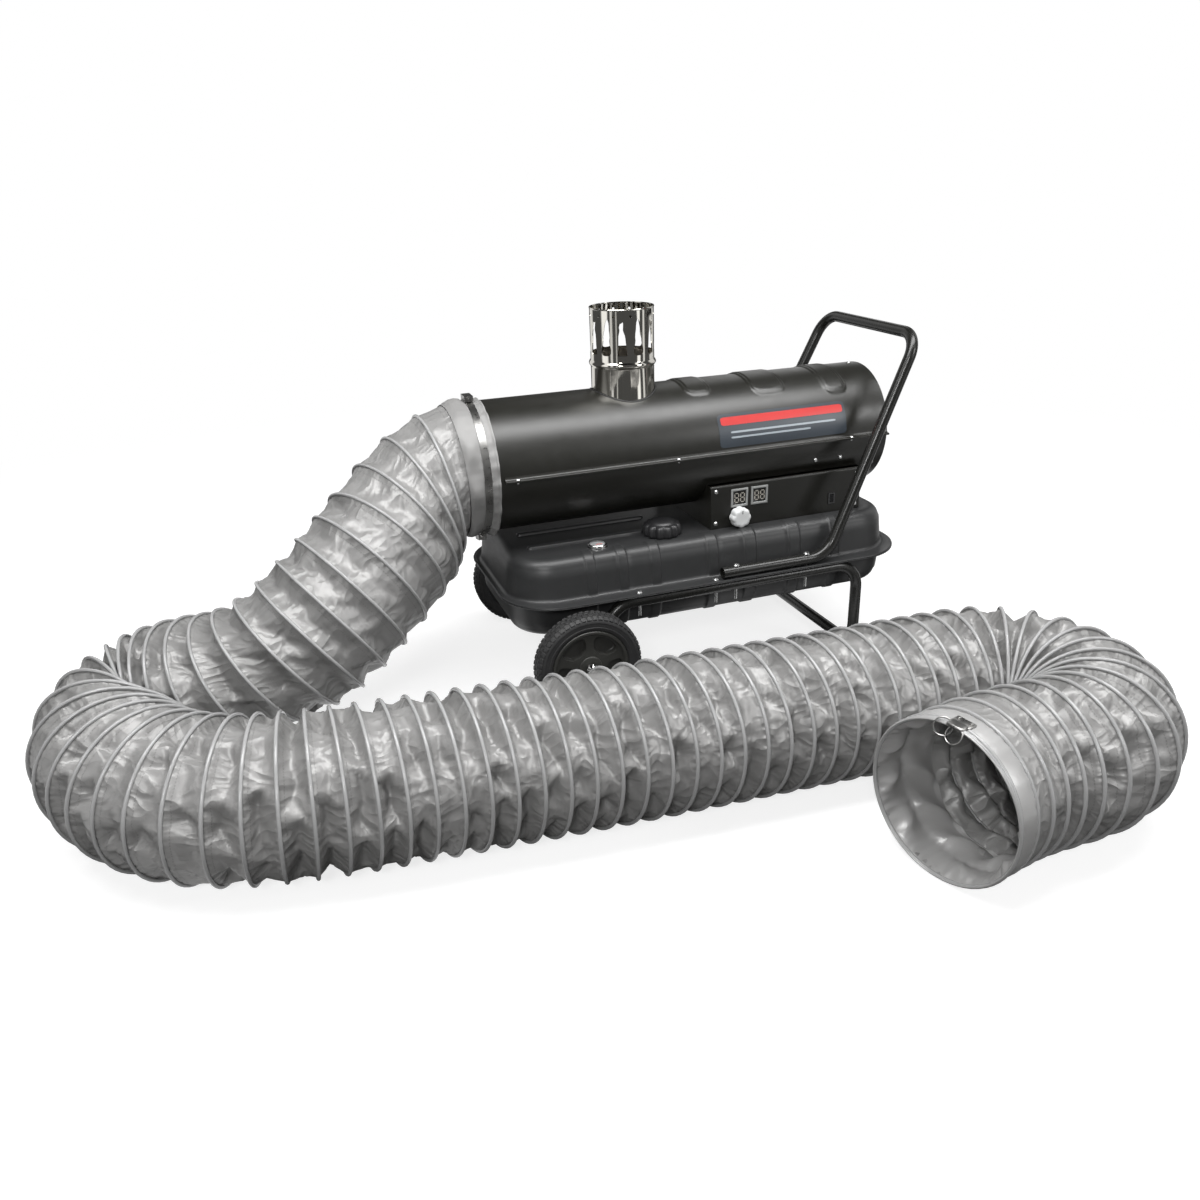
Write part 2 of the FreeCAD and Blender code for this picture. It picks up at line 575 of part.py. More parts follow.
# motor, pump, bracket, shaft and fan
motor_outline = [
    ("0", "0"), ("motor_radius - 4", "0"), ("motor_radius", "4"),
    ("motor_radius", "motor_rear - motor_front - 4"),
    ("motor_radius - 4", "motor_rear - motor_front"),
    ("shaft_radius + running_clearance", "motor_rear - motor_front"),
    ("shaft_radius + running_clearance", "motor_rear - motor_front - 3 * shaft_radius"),
    ("0", "motor_rear - motor_front - 3 * shaft_radius"),
]
node("motor", turned("motor", motor_outline, ("motor_front", "0", "barrel_axis_z"), "x"))
shaft_start = "motor_rear - 2 * shaft_radius"
node("motor_shaft", rod("motor_shaft", "shaft_radius", "fan_front + fan_hub_length - (%s)" % shaft_start,
                        (shaft_start, "0", "barrel_axis_z"), "x"))
pump_outline = [
    ("0", "0"), ("pump_radius - 3", "0"), ("pump_radius", "3"), ("pump_radius", "pump_length * 0.6"),
    ("pump_radius - 5", "pump_length * 0.6"), ("pump_radius - 5", "pump_length"), ("0", "pump_length"),
]
node("air_pump", turned("air_pump", pump_outline, ("motor_front - pump_length", "0", "barrel_axis_z"), "x"))


def bracket(spot):
    ring = pipe("ring_" + spot, "motor_radius + seat_clearance + bracket_ring",
                "motor_radius + seat_clearance",
                "bracket_width", (spot, "0", "barrel_axis_z"), "x")
    start = size("motor_radius") + size("seat_clearance") + size("bracket_ring") / 2
    reach = "barrel_radius - shell_wall - 2 * seat_clearance - motor_radius - bracket_ring / 2"
    arms = [radial_block("arm_%s_%d" % (spot, angle), "bracket_width", "bracket_width", reach, size(spot),
                         angle, start)
            for angle in (-size("bracket_angle"), size("bracket_angle"))]
    return [ring] + arms


bracket_parts = bracket("bracket_front") + bracket("bracket_rear")
bracket_parts.append(block("bracket_tie", ("bracket_rear - bracket_front", "bracket_width", "bracket_ring"),
                           ("bracket_front", "-bracket_width / 2",
                            "barrel_axis_z - motor_radius - seat_clearance - bracket_ring")))
screw_reach = "barrel_radius / 6"
bracket_holes = [radial_rod("bracket_bore_%d" % i, screw_hole, screw_reach,
                            size(spot) + size("bracket_width") / 2, angle,
                            size("barrel_radius") * 0.86) for i, (spot, angle) in enumerate(bracket_spots)]
node("motor_bracket", cut("motor_bracket", fuse("bracket_whole", *bracket_parts), *bracket_holes))
node("bracket_screws", group("bracket_screws", [
    radial_screw("bracket_screw_%d" % i, size(spot) + size("bracket_width") / 2, angle, "6 * shell_wall")
    for i, (spot, angle) in enumerate(bracket_spots)]))

blades = []
for number in range(count("fan_blades")):
    blade = doc.addObject("Part::Box", "fan_blade_%d" % number)
    bind(blade, "Length", "fan_chord")
    bind(blade, "Width", "fan_blade")
    bind(blade, "Height", "barrel_radius - shell_wall - fan_tip_gap - fan_hub_radius / 2")
    spin = Rotation(Vector(1, 0, 0), 360.0 * number / count("fan_blades"))
    pitch = Rotation(Vector(0, 0, 1), 90 - size("fan_pitch"))
    root = Vector(0, 0, size("fan_hub_radius") / 2)
    offset = root + pitch.multVec(Vector(-size("fan_chord") / 2, -size("fan_blade") / 2, 0))
    middle = Vector(size("fan_front") + size("fan_hub_length") / 2, 0, size("barrel_axis_z"))
    moved(blade, Placement(middle + spin.multVec(offset), spin.multiply(pitch)))
    blades.append(blade)
fan_hub = rod("fan_hub", "fan_hub_radius", "fan_hub_length", ("fan_front", "0", "barrel_axis_z"), "x")
fan_bore = rod("fan_bore", "shaft_radius + running_clearance", "fan_hub_length",
               ("fan_front", "0", "barrel_axis_z"), "x")
node("fan", cut("fan", fuse("fan_whole", fan_hub, *blades), fan_bore))

# rear guard: wire rings on four spokes, held by three tabs
guard_x = "barrel_rear - guard_inset"
guard_out = "barrel_radius - shell_wall - 2 * guard_wire"
guard_parts = []
for number in range(1, count("guard_rings") + 1):
    ring = doc.addObject("Part::Torus", "guard_ring_%d" % number)
    bind(ring, "Radius1", "(%s) * %d / guard_rings" % (guard_out, number))
    bind(ring, "Radius2", "guard_wire")
    guard_parts.append(place(ring, (guard_x, "0", "barrel_axis_z"), "x"))
spoke_x = guard_x + " - 2 * guard_wire"
guard_parts.append(block("guard_spoke_level", ("1.5 * guard_wire", "2 * (%s)" % guard_out,
                                               "2 * guard_wire"),
                         (spoke_x, "-(%s)" % guard_out, "barrel_axis_z - guard_wire")))
guard_parts.append(block("guard_spoke_upright",
                         ("1.5 * guard_wire", "2 * guard_wire", "2 * (%s)" % guard_out),
                         (spoke_x, "-guard_wire", "barrel_axis_z - (%s)" % guard_out)))
tab_start = size("barrel_radius") - size("shell_wall") - 2 * size("seat_clearance") - size("guard_tab_depth")
tab_holes = []
for angle in guard_screw_angles:
    guard_parts.append(radial_block("guard_tab_%d" % angle, "2 * guard_tab_length", "guard_tab_width",
                                    "guard_tab_depth",
                                    size("barrel_rear") - size("guard_inset") - 2 * size("guard_tab_length")
                                    - size("guard_wire") / 2, angle, tab_start))
    tab_holes.append(radial_rod("guard_tab_hole_%d" % angle, screw_hole, "2 * guard_tab_depth", guard_tab_x,
                                angle,
                                tab_start - size("guard_tab_depth") / 2))
node("rear_guard", cut("rear_guard", fuse("guard_whole", *guard_parts), *tab_holes))
node("guard_screws", group("guard_screws", [radial_screw("guard_screw_%d" % angle, guard_tab_x, angle,
                                                         "5 * shell_wall")
                                            for angle in guard_screw_angles]))

# control box: folded sheet saddle between tank and barrel, with a side panel on the near side
box_length = "box_rear - box_front"
box_height = "box_top - (%s)" % box_floor
box_depth = "2 * box_half_width - box_wall - seat_clearance"
box_y = "-(box_half_width - box_wall - seat_clearance)"
box_out = block("box_out", (box_length, box_depth, box_height), ("box_front", box_y, box_floor))
box_in = block("box_in", (box_length + " - 2 * box_wall", box_depth + " - box_wall",
                          box_height + " - 2 * box_wall"),
               ("box_front + box_wall", box_y, box_floor + " + box_wall"))
saddle = rod("saddle", "barrel_radius + seat_clearance", "2 * (%s)" % box_length,
             ("box_front - (%s) / 2" % box_length, "0", "barrel_axis_z"), "x")
box_holes = [
    rod("box_line_hole", "pickup_flange + 1", "6 * box_wall",
        ("pickup_x", "0", box_floor + " - 3 * box_wall")),
    rod("box_gland_hole", "gland_radius + seat_clearance", "6 * box_wall",
        ("box_rear - 3 * box_wall", "gland_y", "gland_z"), "x"),
]
node("control_box", cut("control_box", box_out, box_in, saddle, *box_holes))

panel_plate = block("panel_plate", (box_length, "box_wall", box_height),
                    ("box_front", "-box_half_width", box_floor))
panel_holes = [rod("panel_knob_hole", "bush_radius + seat_clearance", "4 * box_wall",
                   ("knob_x", "-box_half_width - box_wall", "knob_z"), "y")]
for spot in ("display_front_x", "display_rear_x"):
    panel_holes.append(block("panel_window_" + spot,
                             ("display_side - 2 * display_lip + 2 * seat_clearance", "4 * box_wall",
                                                      "display_side - 2 * display_lip + 2 * seat_clearance"),
                             (spot + " + display_lip - seat_clearance", "-box_half_width - box_wall",
                              "display_z + display_lip - seat_clearance")))
panel_holes.append(block("panel_switch_window",
                         ("switch_width - 2 * switch_lip + 2 * seat_clearance", "4 * box_wall",
                                                 "switch_height - 2 * switch_lip + 2 * seat_clearance"),
                         ("switch_x + switch_lip - seat_clearance", "-box_half_width - box_wall",
                          "switch_z + switch_lip - seat_clearance")))
panel_screws = []
for end, x in (("front", "box_front + panel_screw_inset"), ("rear", "box_rear - panel_screw_inset")):
    for level, z in (("low", box_floor + " + panel_screw_inset"), ("high", "box_top - panel_screw_inset")):
        name = "%s_%s" % (end, level)
        panel_holes.append(rod("panel_hole_" + name, screw_hole, "4 * box_wall",
                               (x, "-box_half_width - box_wall", z), "y"))
        panel_screws.append(screw("panel_screw_" + name, (x, "-box_half_width", z), "-y", "4 * box_wall"))
node("side_panel", cut("side_panel", panel_plate, *panel_holes))
node("panel_screws", group("panel_screws", panel_screws))


def display(label, spot):
    bezel = block(label + "_bezel", ("display_side", "display_lip", "display_side"),
                  (spot, "-box_half_width - display_lip", "display_z"))
    inside = block(label + "_inside", ("display_side - 2 * display_lip", "display_depth + display_lip / 2",
                                       "display_side - 2 * display_lip"),
                   (spot + " + display_lip", "-box_half_width - display_lip / 2",
                    "display_z + display_lip"))
    return node(label, fuse(label, bezel, inside))


display("temperature_display", "display_front_x")
display("timer_display", "display_rear_x")

# thermostat with its spindle, and the eight sided knob on it
pot_outline = [
    ("0", "0"), ("pot_radius", "0"), ("pot_radius", "pot_depth"), ("bush_radius", "pot_depth"),
    ("bush_radius", "pot_depth + box_wall + knob_lift / 2"),
    ("spindle_radius", "pot_depth + box_wall + knob_lift / 2"),
    ("spindle_radius", "pot_depth + box_wall + knob_length * 0.7"),
    ("0", "pot_depth + box_wall + knob_length * 0.7"),
]
node("thermostat", turned("thermostat", pot_outline,
                          ("knob_x", "-box_half_width + box_wall + pot_depth", "knob_z"), "-y"))
knob_prism = doc.addObject("Part::Prism", "knob_prism")
knob_prism.Polygon = 8
bind(knob_prism, "Circumradius", "knob_radius")
bind(knob_prism, "Height", "knob_length")
place(knob_prism, ("knob_x", "-box_half_width - knob_lift", "knob_z"), "-y")
knob_prism.Placement.Rotation = turn_to["-y"].multiply(Rotation(Vector(0, 0, 1), 22.5))
doc.recompute()
knob_round = doc.addObject("Part::Fillet", "knob_round")
knob_round.Base = knob_prism
front_y = knob_prism.Shape.BoundBox.YMin
knob_round.Edges = [(i + 1, size("knob_length") / 6, size("knob_length") / 6)
                    for i, edge in enumerate(knob_prism.Shape.Edges)
                    if edge.BoundBox.YLength > 1 or edge.BoundBox.YMax < front_y + 0.01]
knob_bore = rod("knob_bore", "spindle_radius + running_clearance", "knob_length * 0.75",
                ("knob_x", "-box_half_width - knob_lift", "knob_z"), "-y")
node("knob", cut("knob", knob_round, knob_bore))

# rocker switch
switch_lip_block = block("switch_lip_block", ("switch_width", "switch_lip", "switch_height"),
                         ("switch_x", "-box_half_width - switch_lip", "switch_z"))
switch_case = block("switch_case", ("switch_width - 2 * switch_lip", "switch_depth",
                                    "switch_height - 2 * switch_lip"),
                    ("switch_x + switch_lip", "-box_half_width - switch_lip / 2", "switch_z + switch_lip"))
switch_well = block("switch_well", ("switch_width - 2 * switch_lip - 2 * switch_rim",
                                    "rocker_thickness + 3",
                                    "switch_height - 2 * switch_lip - switch_rim"),
                    ("switch_x + switch_lip + switch_rim", "-box_half_width - switch_lip",
                     "switch_z + switch_lip + switch_rim / 2"))
pin_start = ("switch_x + switch_lip + switch_rim - rocker_pin_seat",
             "-box_half_width - switch_lip + rocker_thickness / 2",
             "switch_z + switch_height / 2")
pin_length = "switch_width - 2 * switch_lip - 2 * switch_rim + 2 * rocker_pin_seat"
pin_hole = rod("rocker_pin_hole", "rocker_pin + running_clearance", pin_length + " + 2 * running_clearance",
               (pin_start[0] + " - running_clearance", pin_start[1], pin_start[2]), "x")
switch_cut = cut("switch_cut", fuse("switch_whole", switch_lip_block, switch_case), switch_well)
node("switch_body", cut("switch_body", switch_cut, pin_hole))
rocker = block("rocker_key", ("switch_width - 2 * switch_lip - 2 * switch_rim - 2 * rocker_gap",
                              "rocker_thickness",
                          "switch_height - 2 * switch_lip - switch_rim - 4 * rocker_gap"), ("0", "0", "0"))
for letter in "xyz":
    rocker.setExpression("Placement.Base." + letter, None)
rocker_corner = Vector(size("switch_x") + size("switch_lip") + size("switch_rim") + size("rocker_gap"),
                       -size("box_half_width") - size("switch_lip"),
                       size("switch_z") + size("switch_lip") + size("switch_rim") / 2 + 2 * size("rocker_gap"))
rocker_pivot = Vector(0, -size("box_half_width") - size("switch_lip") + size("rocker_thickness") / 2,
                      size("switch_z") + size("switch_height") / 2)
rocker_turn = Placement(Vector(), Rotation(Vector(1, 0, 0), size("rocker_tilt")), rocker_pivot)
moved(rocker, rocker_turn.multiply(Placement(rocker_corner, Rotation())))
rocker_pin = rod("rocker_pin_rod", "rocker_pin", pin_length, pin_start, "x")
node("rocker", fuse("rocker", rocker, rocker_pin))

# electronics
board_y = "-box_half_width + box_wall + board_standoff"
board_face = "(box_half_width - box_wall - board_standoff - board_thick)"
board_clear = "barrel_axis_z - sqrt((barrel_radius + board_gap)^2 - %s^2)" % board_face
board_high = "min(box_top - box_wall - board_gap; %s)" % board_clear
board = block("board_plate", ("board_length", "board_thick", board_high + " - board_low"),
              ("board_x", board_y, "board_low"))
board_parts = [board]
for end, x in (("front", "board_x + 2 * standoff_radius"),
               ("rear", "board_x + board_length - 2 * standoff_radius")):
    board_parts.append(rod("standoff_" + end, "standoff_radius", "board_standoff",
                           (x, "-box_half_width + box_wall", board_high + " - 2 * standoff_radius"), "y"))
for number, share in enumerate((0.15, 0.45, 0.72)):
    board_parts.append(block("chip_%d" % number,
                             ("board_length / 6", "board_thick * 5", "board_length / 7"),
                             ("board_x + board_length * %s" % share, board_y + " + board_thick / 2",
                              "board_low + board_thick * 4")))
node("control_board", fuse("control_board", *board_parts))
node("ignition_transformer", block("ignition_transformer",
                                   ("transformer_length", "transformer_width", "transformer_height"),
                                   ("transformer_x", "box_half_width - 2 * box_wall - transformer_width",
                                    box_floor + " + box_wall")))
gland_outline = [
    ("gland_bore", "0"), ("gland_radius", "0"), ("gland_radius", "gland_length / 3"),
    ("gland_nut", "gland_length / 3"),
    ("gland_nut", "gland_length * 0.6"), ("gland_radius", "gland_length"), ("gland_bore", "gland_length"),
]
node("cable_gland", turned("cable_gland", gland_outline,
                           ("box_rear - gland_length / 3", "gland_y", "gland_z"), "x"))

# fuel tank halves
def tank_half(label, upper):
    axis = "z" if upper else "-z"
    height = "tank_upper_height" if upper else "tank_lower_height"
    level = "tank_seam_z" if upper else "tank_seam_z - seam_gap"
    base = ("0", "0", level)
    out = tub(label + "_out", "tank_front", "tank_rear", "tank_half_width", "tank_corner", height,
              "tank_draft",
              "tank_edge", base, axis)
    inside = tub(label + "_in", "tank_front + tank_wall", "tank_rear - tank_wall",
                 "tank_half_width - tank_wall",
                 "tank_corner - tank_wall", height + " - tank_wall", "tank_draft", "tank_edge - tank_wall",
                 base, axis)
    flange = tub(label + "_flange", "flange_front", "flange_rear", "flange_half_width", "flange_corner",
                 "flange_plate",
                 None, None, base, axis)
    tools = [inside]
    for side, sign in sides.items():
        for spot in bolt_spots:
            tools.append(rod("%s_%s_%s" % (label, side, spot), "bolt_radius + running_clearance",
                             "6 * flange_plate",
                             (spot, "%d * rail_y" % sign, "tank_seam_z - 3 * flange_plate")))
    return out, flange, tools


bolt_spots = ["frame_bolt_front", "frame_bolt_rear", "handle_bolt_front", "handle_bolt_rear"]
out, flange, tools = tank_half("tank_upper", True)
neck = rod("neck", "neck_radius", "neck_height + tank_wall", ("cap_x", "cap_y", tank_top + " - tank_wall"))
tools.append(rod("neck_bore", "neck_radius - neck_wall", "neck_height + 4 * tank_wall",
                 ("cap_x", "cap_y", tank_top + " - 3 * tank_wall")))
tools.append(rod("gauge_hole", "gauge_stem + seat_clearance", "4 * tank_wall",
                 ("gauge_x", "gauge_y", tank_top + " - 3 * tank_wall")))
tools.append(rod("pickup_hole", "pickup_radius + seat_clearance", "4 * tank_wall",
                 ("pickup_x", "0", tank_top + " - 3 * tank_wall")))
node("tank_upper", cut("tank_upper", fuse("tank_upper_whole", out, flange, neck), *tools))
out, flange, tools = tank_half("tank_lower", False)
tank_bottom = "tank_seam_z - seam_gap - tank_lower_height"
tools.append(rod("drain_hole", "drain_radius + running_clearance", "4 * tank_wall",
                 ("drain_x", "0", tank_bottom + " - tank_wall")))
node("tank_lower", cut("tank_lower", fuse("tank_lower_whole", out, flange), *tools))

drain_hex = doc.addObject("Part::Prism", "drain_hex")
drain_hex.Polygon = 6
bind(drain_hex, "Circumradius", "drain_head")
bind(drain_hex, "Height", "drain_head_height")
place(drain_hex, ("drain_x", "0", tank_bottom), "-z")
drain_shank = rod("drain_shank", "drain_radius", "3 * tank_wall", ("drain_x", "0", tank_bottom))
node("drain_plug", fuse("drain_plug", drain_hex, drain_shank))

# filler: strainer hung in the neck, screw cap with its liner
neck_top = tank_top + " + neck_height"
strainer_outline = [
    ("0", "-strainer_depth"), ("neck_radius - neck_wall - seat_clearance", "-strainer_depth"),
    ("neck_radius - neck_wall - seat_clearance", "0"), ("neck_radius", "0"),
    ("neck_radius", "strainer_lip"),
    ("neck_radius - neck_wall - seat_clearance - strainer_wall", "strainer_lip"),
    ("neck_radius - neck_wall - seat_clearance - strainer_wall", "strainer_wall - strainer_depth"),
    ("0", "strainer_wall - strainer_depth"),
]
node("filler_strainer", turned("filler_strainer", strainer_outline, ("cap_x", "cap_y", neck_top)))
liner_z = neck_top + " + strainer_lip + liner_clearance"
liner_radius = "neck_radius + 1"
node("cap_liner", rod("cap_liner", liner_radius, "liner_thick", ("cap_x", "cap_y", liner_z)))
cap_foot = tank_top + " + cap_lift"
cap_core = turned("cap_core", [
    ("0", "0"), ("cap_radius", "0"), ("cap_radius", "cap_height - 3"), ("cap_radius - 3", "cap_height"),
    ("cap_dome", "cap_height"), ("cap_dome - 4", "cap_height + 4"), ("0", "cap_height + 4")],
    ("cap_x", "cap_y", cap_foot))
cap_lobes = []
for number in range(count("cap_lobes")):
    angle = 2 * math.pi * number / count("cap_lobes")
    at = Vector(size("cap_x") + size("cap_radius") * math.cos(angle),
                size("cap_y") + size("cap_radius") * math.sin(angle),
                size("tank_seam_z") + size("tank_upper_height") + size("cap_lift"))
    lobe = doc.addObject("Part::Cylinder", "cap_lobe_%d" % number)
    bind(lobe, "Radius", "cap_lobe_radius")
    bind(lobe, "Height", "cap_height - 4")
    cap_lobes.append(moved(lobe, Placement(at, Rotation())))
cap_well = rod("cap_well", liner_radius + " + liner_clearance",
               "(%s) + liner_thick + liner_clearance - (%s)" % (liner_z, cap_foot),
               ("cap_x", "cap_y", cap_foot))
node("cap_shell", cut("cap_shell", fuse("cap_whole", cap_core, *cap_lobes), cap_well))

# fuel gauge: bezel cup with a stem, lens, pointer, and the float on its arm in the tank
gauge_outline = [
    ("0", "-gauge_stem_length"), ("gauge_stem", "-gauge_stem_length"), ("gauge_stem", "0"),
    ("gauge_radius", "0"),
    ("gauge_radius", "gauge_height - 1"), ("gauge_radius - 1", "gauge_height"),
    ("gauge_radius - gauge_rim", "gauge_height"),
    ("gauge_radius - gauge_rim", "gauge_floor"), ("0", "gauge_floor"),
]
gauge_cup = turned("gauge_cup", gauge_outline, ("gauge_x", "gauge_y", tank_top))
pivot_z = tank_top + " - gauge_stem_length"
float_pin = rod("float_pin_rod", "float_pin", "gauge_stem + float_eye_width + 1",
                ("gauge_x", "gauge_y", pivot_z + " + 2 * float_pin"), "y")
node("gauge_body", fuse("gauge_body", gauge_cup, float_pin))
node("gauge_lens", rod("gauge_lens", "gauge_radius - gauge_rim - running_clearance", "lens_thick",
                       ("gauge_x", "gauge_y", tank_top + " + gauge_height - lens_thick - 0.4")))
node("gauge_pointer", block("gauge_pointer", ("gauge_radius - gauge_rim - 3", "pointer_width",
                                              "pointer_thick"),
                            ("gauge_x - pointer_width", "gauge_y - pointer_width / 2",
                             tank_top + " + gauge_floor + 0.3")))
eye_y = "gauge_y + gauge_stem + 0.5"
float_z = pivot_z + " + 2 * float_pin"
float_eye = rod("float_eye_ring", "float_eye", "float_eye_width - 0.5", ("gauge_x", eye_y, float_z), "y")
float_arm = block("float_arm_bar", ("float_arm", "float_eye_width - 0.5", "float_pin * 2"),
                  ("gauge_x", eye_y, float_z + " - float_pin"))
float_drum = rod("float_drum", "float_radius", "float_length",
                 ("gauge_x + float_arm", eye_y + " + float_eye_width / 2 - float_length / 2", float_z), "y")
float_hole = rod("float_hole", "float_pin + running_clearance", "2 * float_eye_width",
                 ("gauge_x", eye_y + " - 1", float_z), "y")
node("gauge_float", cut("gauge_float", fuse("float_whole", float_eye, float_arm, float_drum), float_hole))

# fuel pickup with filter in the tank, and the line up to the pump
pickup_stalk = rod("pickup_stalk", "pickup_radius",
                   "tank_upper_height + tank_lower_height + seam_gap - tank_wall - pickup_foot",
                   ("pickup_x", "0", tank_bottom + " + tank_wall + pickup_foot"))
pickup_flange = rod("pickup_flange_disc", "pickup_flange", "pickup_flange_height",
                    ("pickup_x", "0", tank_top))
pickup_filter = rod("pickup_filter", "filter_radius", "filter_height",
                    ("pickup_x", "0", tank_bottom + " + tank_wall + pickup_foot"))
node("fuel_pickup", fuse("fuel_pickup", pickup_stalk, pickup_flange, pickup_filter))
line_foot = size("tank_seam_z") + size("tank_upper_height") + size("pickup_flange_height")
pump_port = size("motor_front") - size("pump_length") + size("pump_port_inset")
pump_under = size("barrel_axis_z") - size("pump_radius")
line_step = (pump_under - line_foot) / 3
line_points = [Vector(size("pickup_x"), 0, line_foot), Vector(size("pickup_x"), 0, line_foot + line_step),
               Vector(pump_port, 0, line_foot + 2 * line_step), Vector(pump_port, 0, pump_under)]
node("fuel_line", bent_tube("fuel_line", line_points, [line_step / 2, line_step / 2], size("line_radius"),
                            size("line_radius") * 0.6))


# frame and handle
def mirrored_run(points):
    """Points of the near half, then the same for the far half in the other order."""
    return points + [Vector(p.x, -p.y, p.z) for p in reversed(points)]


frame_rail_z = size("tank_seam_z") - size("seam_gap") - size("flange_plate") - size("rest_gap") - size("tube_radius")
axle_lean = (Vector(size("axle_x"), 0, size("axle_z")) - Vector(size("rail_bend_x"), 0,
                                                                frame_rail_z)).normalize()
front_end = Vector(size("axle_x"), -size("rail_y"), size("axle_z")) + axle_lean * size("rail_end")
frame_points = mirrored_run([front_end, Vector(size("rail_bend_x"), -size("rail_y"), frame_rail_z),
                             Vector(size("leg_x"), -size("rail_y"), frame_rail_z),
                             Vector(size("leg_x"), -size("rail_y"), size("tube_radius"))])
frame_bends = [size("frame_bend"), size("frame_bend"), size("floor_bend")]
frame_bends += frame_bends[::-1]
tube_bore = size("tube_radius") - size("tube_wall")
frame_whole = bent_tube("frame_whole", frame_points, frame_bends, size("tube_radius"), tube_bore)
frame_holes = []
for side, sign in sides.items():
    frame_holes.append(rod("frame_axle_hole_" + side, "axle_radius + seat_clearance", "4 * tube_radius",
                           ("axle_x", "%d * rail_y - 2 * tube_radius" % sign, "axle_z"), "y"))
    for spot in bolt_spots:
        frame_holes.append(rod("frame_hole_%s_%s" % (side, spot), "bolt_radius + running_clearance",
                               "4 * tube_radius",
                               (spot, "%d * rail_y" % sign, rail_z + " - 2 * tube_radius")))
node("frame_tube", cut("frame_tube", frame_whole, *frame_holes))
handle_low_z = size("tank_seam_z") + size("flange_plate") + size("rest_gap") + size("tube_radius")
handle_points = mirrored_run([Vector(size("handle_start"), -size("rail_y"), handle_low_z),
                              Vector(size("handle_bend_x"), -size("rail_y"), handle_low_z),
                              Vector(size("handle_top_x"), -size("handle_top_y"), size("handle_top_z"))])
handle_bends = [size("handle_low_bend"), size("handle_top_bend"), size("handle_top_bend"),
                size("handle_low_bend")]
handle_whole = bent_tube("handle_whole", handle_points, handle_bends, size("tube_radius"), tube_bore)
handle_holes = [rod("handle_hole_%s_%s" % (side, spot), "bolt_radius + running_clearance",
                    "4 * tube_radius",
                    (spot, "%d * rail_y" % sign, handle_z + " - 2 * tube_radius"))
                for side, sign in sides.items() for spot in bolt_spots[2:]]
node("handle_tube", cut("handle_tube", handle_whole, *handle_holes))


def dome_bolt(name, spot, sign, seat):
    foot = "(%s) - (%s) + tube_radius + bolt_show" % (seat, rail_z)
    profile = [("0", "-(%s)" % foot), ("bolt_radius", "-(%s)" % foot), ("bolt_radius", "0"),
               ("bolt_head_radius", "0"),
               ("bolt_head_radius", "bolt_head_height / 3"),
               ("bolt_head_radius * 0.75", "bolt_head_height * 0.8"),
               ("bolt_head_radius * 0.35", "bolt_head_height"), ("0", "bolt_head_height")]
    return turned(name, profile, (spot, "%d * rail_y" % sign, seat))


handle_seat = handle_z + " + tube_radius"
for label, spots, seat in (("frame_bolts", bolt_spots[:2], flange_top),
                           ("handle_bolts", bolt_spots[2:], handle_seat)):
    node(label, group(label, [dome_bolt("%s_%s_%s" % (label, side, spot), spot, sign, seat)
                              for side, sign in sides.items() for spot in spots]))

